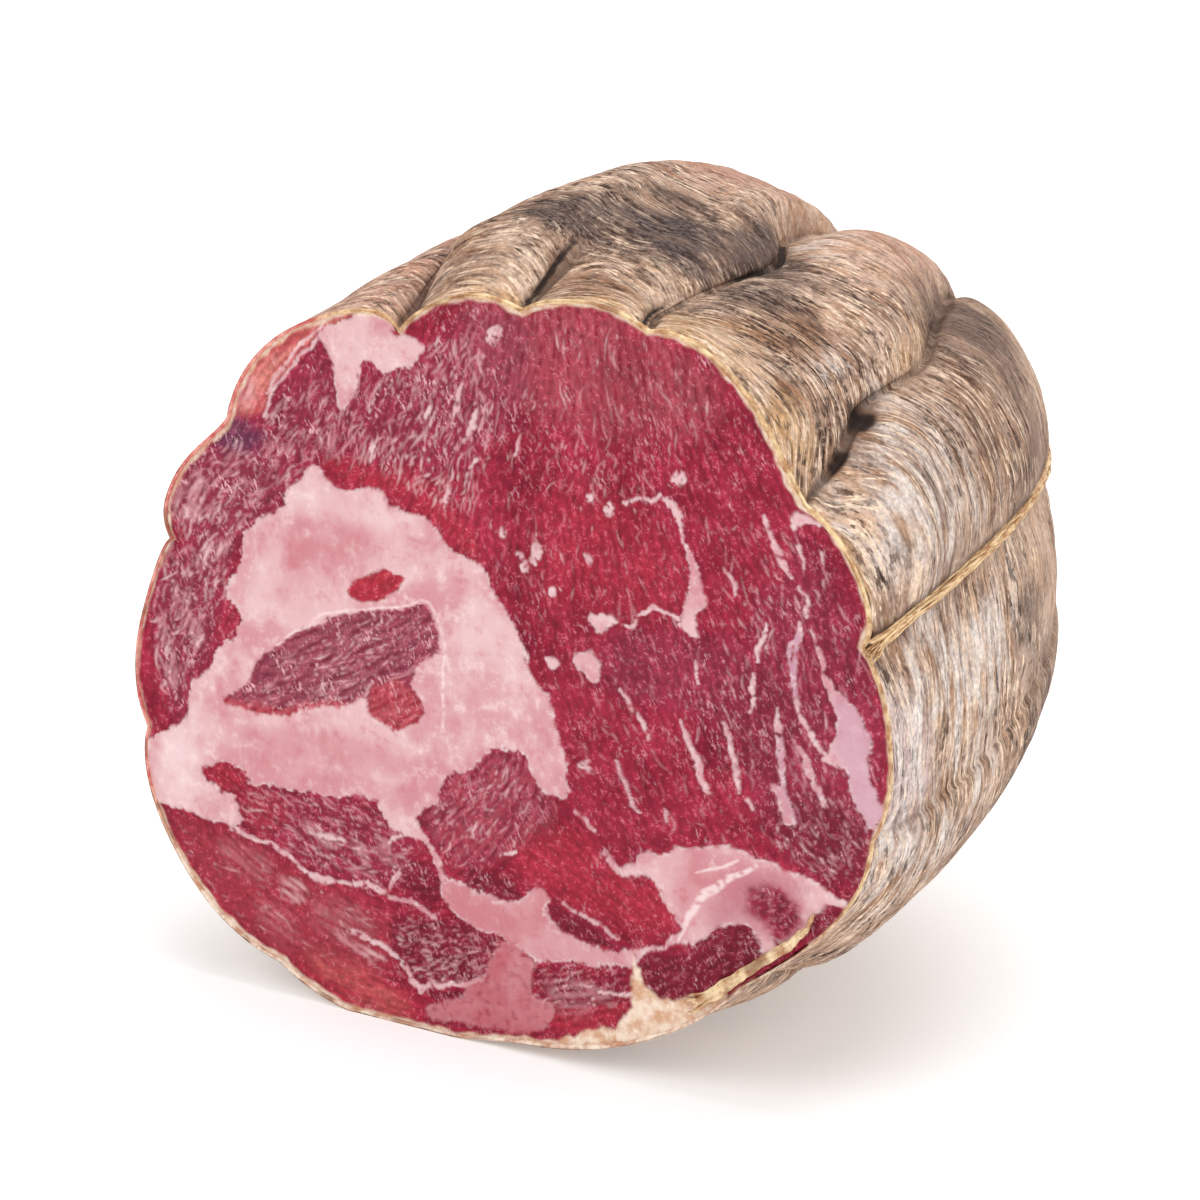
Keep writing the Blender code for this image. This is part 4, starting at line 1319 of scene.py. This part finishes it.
def build_face(material):
    """The cut face, a little sunk where it is lean, in strips."""
    raster, fields = face_fields()
    radius, angle = disc_grid(FACE_CELLS)
    reach = radius * (outline_radius(angle) - FACE_INSET)
    x, z = reach * np.cos(angle), reach * np.sin(angle)
    own = {name: raster.read(values, x, z) for name, values in fields.items()}
    own["cover"] = np.clip(0.9 * own.pop("films") + 0.85 * own.pop("threads"), 0.0, 1.0)
    own["grain"] = 0.6 * own.pop("fine") + 0.6 * own.pop("coarse")
    own["cream"] = cream_edge(x, z) * (1.0 - own["gap"])
    lean = 1.0 - np.clip(own["fat"] + 0.6 * own["cover"], 0.0, 1.0)
    relief = LEAN_SUNK * lean + 0.025 * np.clip(own["grain"], -2.5, 2.5) * lean
    relief += 0.03 * noise(x / 1.1, z / 1.1, 301) + 0.05 * noise(x / 6.0, z / 6.0, 302)
    relief = np.clip(relief + 0.1, 0.0, None) + GAP_DEPTH * own["gap"]
    points = np.stack((x, relief, z), -1)
    normals = -grid_normals(points, False)
    pieces = []
    for index in range(FACE_PARTS):
        first, last = (part * FACE_CELLS // FACE_PARTS for part in (index, index + 1))
        picked = slice(first, last + 1)
        faces = quads(last + 1 - first, FACE_CELLS + 1, False)[:, ::-1].tolist()
        part, turned = points[picked].reshape(-1, 3), normals[picked].reshape(-1, 3)
        values = {name: value[picked].ravel() for name, value in own.items()}
        pieces.append(mesh_piece(f"cut_face_{index + 1}", part, faces, turned, values, material))
    return pieces


def build_edge(material):
    """The casing's cut edge: a thin wavy band that stands a little proud of the face."""
    ring = section(0.0, *columns_around(EDGE_COLUMNS))
    turn, radius = np.arctan2(ring[:, 2], ring[:, 0]), np.hypot(ring[:, 0], ring[:, 2])
    degrees = np.degrees(turn) % 360.0
    wave = noise(degrees / 2.2, 0.0, 331, 164) + 0.6 * noise(degrees / 0.9, 0.0, 332, 400)
    width = 0.2 + 0.32 * rim_width(degrees) * np.clip(1.0 + 0.6 * wave, 0.2, 2.2)
    proud = 0.16 + 0.14 * np.clip(noise(degrees / 3.0, 0.5, 333, 120) + 0.4 * wave, -0.8, 1.2)
    rows = [(radius - width * inward, np.where(forward < 0.0, -0.45, proud * forward))
            for inward, forward in EDGE_ROWS]
    rows.append((radius, np.full_like(radius, -0.5)))
    points = [np.column_stack((reach * np.cos(turn), -away, reach * np.sin(turn)))
              for reach, away in rows]
    cream = smoothstep((degrees - 205.0) / 12.0) * smoothstep((338.0 - degrees) / 15.0)
    flesh = smoothstep((degrees - 118.0) / 8.0) * smoothstep((216.0 - degrees) / 12.0)
    fields = {"cream": np.tile(cream, len(rows)), "flesh": np.tile(flesh, len(rows))}
    faces = quads(len(rows), len(radius), True)[:, ::-1].tolist()
    return mesh_piece("casing_edge", np.vstack(points), faces, None, fields, material)


class Cords:
    """Thin tubes that are gathered into one piece."""

    def __init__(self):
        self.points, self.faces, self.count = [], [], 0

    def add(self, line, radius, sides):
        """A tube along the line, with end caps. Says how many points it has."""
        along = unit(np.gradient(line, axis=0), 1e-9)
        side = unit(np.cross(along, (0.13, 0.21, 0.97)))
        up = np.cross(side, along)
        turn = np.linspace(0.0, 2.0 * math.pi, sides, endpoint=False)[None, :, None]
        ring = side[:, None] * np.cos(turn) + up[:, None] * np.sin(turn)
        body = (line[:, None] + ring * np.asarray(radius)[:, None, None]).reshape(-1, 3)
        self.faces += (quads(len(line), sides, True) + self.count).tolist()
        first, last = self.count + np.arange(sides), self.count + len(body) - 1 - np.arange(sides)
        self.faces += [first.tolist(), last.tolist()]
        self.points.append(body)
        self.count += len(body)
        return len(body)


def build_torn_edge(material):
    """Ragged strands of the casing's torn edge, each a thin wavy cord."""
    line = tenths(TORN_EDGE, 3)
    run = np.append(0.0, np.cumsum(np.hypot(*np.diff(line[:, :2], axis=0).T)))
    rng = np.random.default_rng(9)
    cords = Cords()
    for index in range(TORN_STRANDS):
        start, end = rng.uniform(0.0, 0.25), rng.uniform(0.7, 1.0)
        at = np.linspace(start, end, TORN_STEPS) * run[-1]
        x, z, spread = (np.interp(at, run, line[:, axis]) for axis in range(3))
        place = (index + 0.5) / TORN_STRANDS * 2.0 - 1.0 + 0.5 * noise(at / 3.0, index * 4.1, 341)
        side = unit(np.column_stack((np.gradient(z), -np.gradient(x))))
        x, z = np.column_stack((x, z)).T + (side * (place * spread)[:, None]).T
        depth = -0.12 - 0.2 * rng.uniform() + 0.14 * noise(at / 2.0, index * 2.3, 342)
        width = rng.uniform(0.18, 0.36) * (1.0 + 0.5 * noise(at / 1.6, index * 6.7, 343))
        for off in (at - at[0], at[-1] - at):
            width = width * smoothstep(off / 1.5 + 0.2)
        cords.add(np.column_stack((x, depth, z)), np.maximum(width, 0.04), 6)
    fields = {"cream": np.full(cords.count, TORN_CREAM), "flesh": np.zeros(cords.count)}
    return mesh_piece("torn_edge", np.vstack(cords.points), cords.faces, None, fields, material)


# ---- The tie ----

TIE_LIFT_IN_CREASE = 1.25
TIE_LIFT_AT_END = 1.35
TIE_LIFT_EASES_FROM = 0.6
TIE_CREASES = (0, 7)
TIE_OVERHANG = 0.6
TIE_LOOSE_END_DEPTH = 22.0
TIE_STEPS = 360
FIBRES = 22
CORE_FIBRES = 5
FIBRE_PITCH = 120.0
FIBRE_SIDES = 5
LOOSE_FIBRES = 70


def crease_line(index, first_depth):
    turn = np.linspace(math.asin(first_depth / BODY_LENGTH), 0.5 * math.pi, 61)[:-1]
    at = np.array([index]), np.array([0.0])
    return np.array([section(depth, *at)[0] for depth in BODY_LENGTH * np.sin(turn)])


def lifted(line):
    """The line moved out along its own normal, so that a round tie lies clear of the crease."""
    along = unit(np.gradient(line, axis=0))
    share = line[:, 1] / BODY_LENGTH
    outward = unit((line - (END_DRIFT_X, 0.0, END_RISE)) * (1.0, 0.0, 1.0), 1.0)
    outward[:, 1] = smoothstep(share) ** 2
    normal = unit(outward - along * np.sum(outward * along, axis=1)[:, None])
    near_end = smoothstep((share - TIE_LIFT_EASES_FROM) / (1.0 - TIE_LIFT_EASES_FROM))[:, None]
    return line + normal * (TIE_LIFT_IN_CREASE * (1.0 - near_end) + TIE_LIFT_AT_END * near_end)


def tie_path():
    """The tie's middle line, in even steps, and the frame that its fibres turn in."""
    first = (0.0, TIE_LOOSE_END_DEPTH)
    up, down = (lifted(crease_line(*ends)) for ends in zip(TIE_CREASES, first))
    tip = np.array([[END_DRIFT_X, BODY_LENGTH + TIE_LIFT_AT_END, END_RISE]])
    path = np.vstack((up[:1] - (0.0, TIE_OVERHANG, 0.0), up, tip, down[::-1]))
    run = np.append(0.0, np.cumsum(np.linalg.norm(np.diff(path, axis=0), axis=1)))
    even = np.linspace(0.0, run[-1], TIE_STEPS)
    path = np.column_stack([np.interp(even, run, path[:, axis]) for axis in range(3)])
    kernel = np.array((1.0, 2.0, 3.0, 2.0, 1.0)) / 9.0
    padded = np.pad(path, ((2, 2), (0, 0)), mode="edge")
    smooth = np.column_stack([np.convolve(padded[:, axis], kernel, "valid") for axis in range(3)])
    smooth[0], smooth[-1] = path[0], path[-1]
    along = unit(np.gradient(smooth, axis=0))
    side = np.zeros_like(along)
    last = np.cross(along[0], (0.0, 0.0, 1.0))
    for index, way in enumerate(along):
        last = unit(last - way * np.dot(last, way))
        side[index] = last
    return smooth, even, side, np.cross(along, side)


def build_tie(material):
    """The tie: fibres laid side by side with a slow twist, some loose, frayed where it was cut."""
    path, run, side, up = tie_path()
    rng = np.random.default_rng(77)
    cords, fibre = Cords(), []
    fray = smoothstep(1.0 - run / 3.0)
    outer = FIBRES - CORE_FIBRES
    for index in range(FIBRES):
        inner = index < CORE_FIBRES
        turns = index / CORE_FIBRES if inner else (index - CORE_FIBRES) / outer
        angle = 2.0 * math.pi * turns + 2.0 * math.pi * run / FIBRE_PITCH
        angle = (angle + 0.8 * noise(run / 9.0, index * 3.7, 401))[:, None]
        off = (0.24 if inner else 0.66) * (1.0 + 0.22 * noise(run / 4.0, index * 5.3, 402))
        width = rng.uniform(0.17, 0.26) * (1.0 + 0.3 * noise(run / 6.0, index * 2.9, 403))
        off = (off * (1.0 + 0.9 * fray))[:, None]
        line = path + (side * np.cos(angle) + up * np.sin(angle)) * off
        line[:, 2] -= 0.35 * fray
        count = cords.add(line, width * (1.0 - 0.45 * fray), FIBRE_SIDES)
        around = np.tile(np.arange(FIBRE_SIDES), len(run)) * 0.2
        along = np.repeat(run, FIBRE_SIDES)
        fibre.append(np.column_stack((along, np.full(count, index * 1.7), around)))
    for index in range(LOOSE_FIBRES):
        at, count = int(rng.integers(4, TIE_STEPS - 20)), int(rng.integers(5, 12))
        angle = rng.uniform(0.0, 2.0 * math.pi)
        lift = 0.55 + rng.uniform(0.1, 0.55) * np.linspace(0.0, 1.0, count)[:, None] ** 1.5
        here = slice(at, at + count)
        line = path[here] + (side[here] * math.cos(angle) + up[here] * math.sin(angle)) * lift
        points = cords.add(line, np.linspace(0.07, 0.03, count), 4)
        fibre.append(np.column_stack((np.repeat(run[here], 4), np.full((points, 2), index))))
    fields = {"fibre": np.vstack(fibre)}
    return mesh_piece("tie", np.vstack(cords.points), cords.faces, None, fields, material)


# ---- The scene ----

CAMERA_TARGET = Vector((0.015636, -0.04685, 0.066866))
CAMERA_AWAY = Vector((0.49057, -0.79430, 0.35837)) * 1.1
CAMERA_LENS = 255.75
LIGHT_TARGET = Vector((0.0, 0.0, 0.05))
FLOOR_HALF = 6.0
WHITE = (1.0, 1.0, 1.0, 1.0)


def look_at(obj, place, target):
    obj.location = place
    obj.rotation_euler = (target - place).to_track_quat("-Z", "Y").to_euler()


def area_light(name, place, size, power):
    data = bpy.data.lights.new(name, "AREA")
    data.shape = "DISK"
    data.size = size
    data.energy = power
    look_at(linked(name, data), Vector(place), LIGHT_TARGET)


def floor():
    """A plain pale floor."""
    n = Nodes("pale_floor", {
        "Roughness": 0.85, "Specular IOR Level": 0.1, "Emission Color": WHITE,
        "Emission Strength": 0.21,
    })
    tone = n.span(n.noise(n.place(), 6.0), 0.3, 0.7)
    mesh = bpy.data.meshes.new("floor")
    half = FLOOR_HALF
    mesh.from_pydata([(-half, -half, 0.0), (half, -half, 0.0), (half, half, 0.0),
                      (-half, half, 0.0)], [], [(0, 1, 2, 3)])
    pale = n.mix(tone, (0.91, 0.91, 0.91, 1.0), (0.93, 0.93, 0.93, 1.0))
    mesh.materials.append(n.finish(pale))
    return linked("floor", mesh)


def main():
    casing, meat = casing_material(), meat_material()
    pieces = build_casing(casing)
    for piece in pieces:
        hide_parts("coppa")
    cut_edge = edge_material()
    edges = [build_edge(cut_edge), build_torn_edge(cut_edge)]
    for piece in edges:
        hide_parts("coppa")
    faces = build_face(meat)
    for piece in faces:
        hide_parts("coppa")
    tie = build_tie(twine_material())
    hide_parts("twine")
    for piece in (*pieces, *edges, *faces, tie):
        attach(piece, "root")
    floor()

    camera = linked("camera", bpy.data.cameras.new("camera"))
    camera.data.lens = CAMERA_LENS
    camera.data.sensor_width = 36.0
    camera.data.clip_end = 20.0
    look_at(camera, CAMERA_TARGET + CAMERA_AWAY, CAMERA_TARGET)
    bpy.context.scene.camera = camera

    area_light("key", (-0.45, -0.85, 0.85), 0.9, 5.0)
    area_light("fill", (1.0, -0.35, 0.7), 0.9, 4.0)
    area_light("top", (0.1, 0.25, 1.1), 1.0, 7.0)
    world = bpy.data.worlds.new("studio")
    world.use_nodes = True
    background = world.node_tree.nodes["Background"]
    background.inputs["Color"].default_value = WHITE
    background.inputs["Strength"].default_value = 0.55
    bpy.context.scene.world = world
    bpy.context.scene.view_settings.view_transform = "Standard"


main()
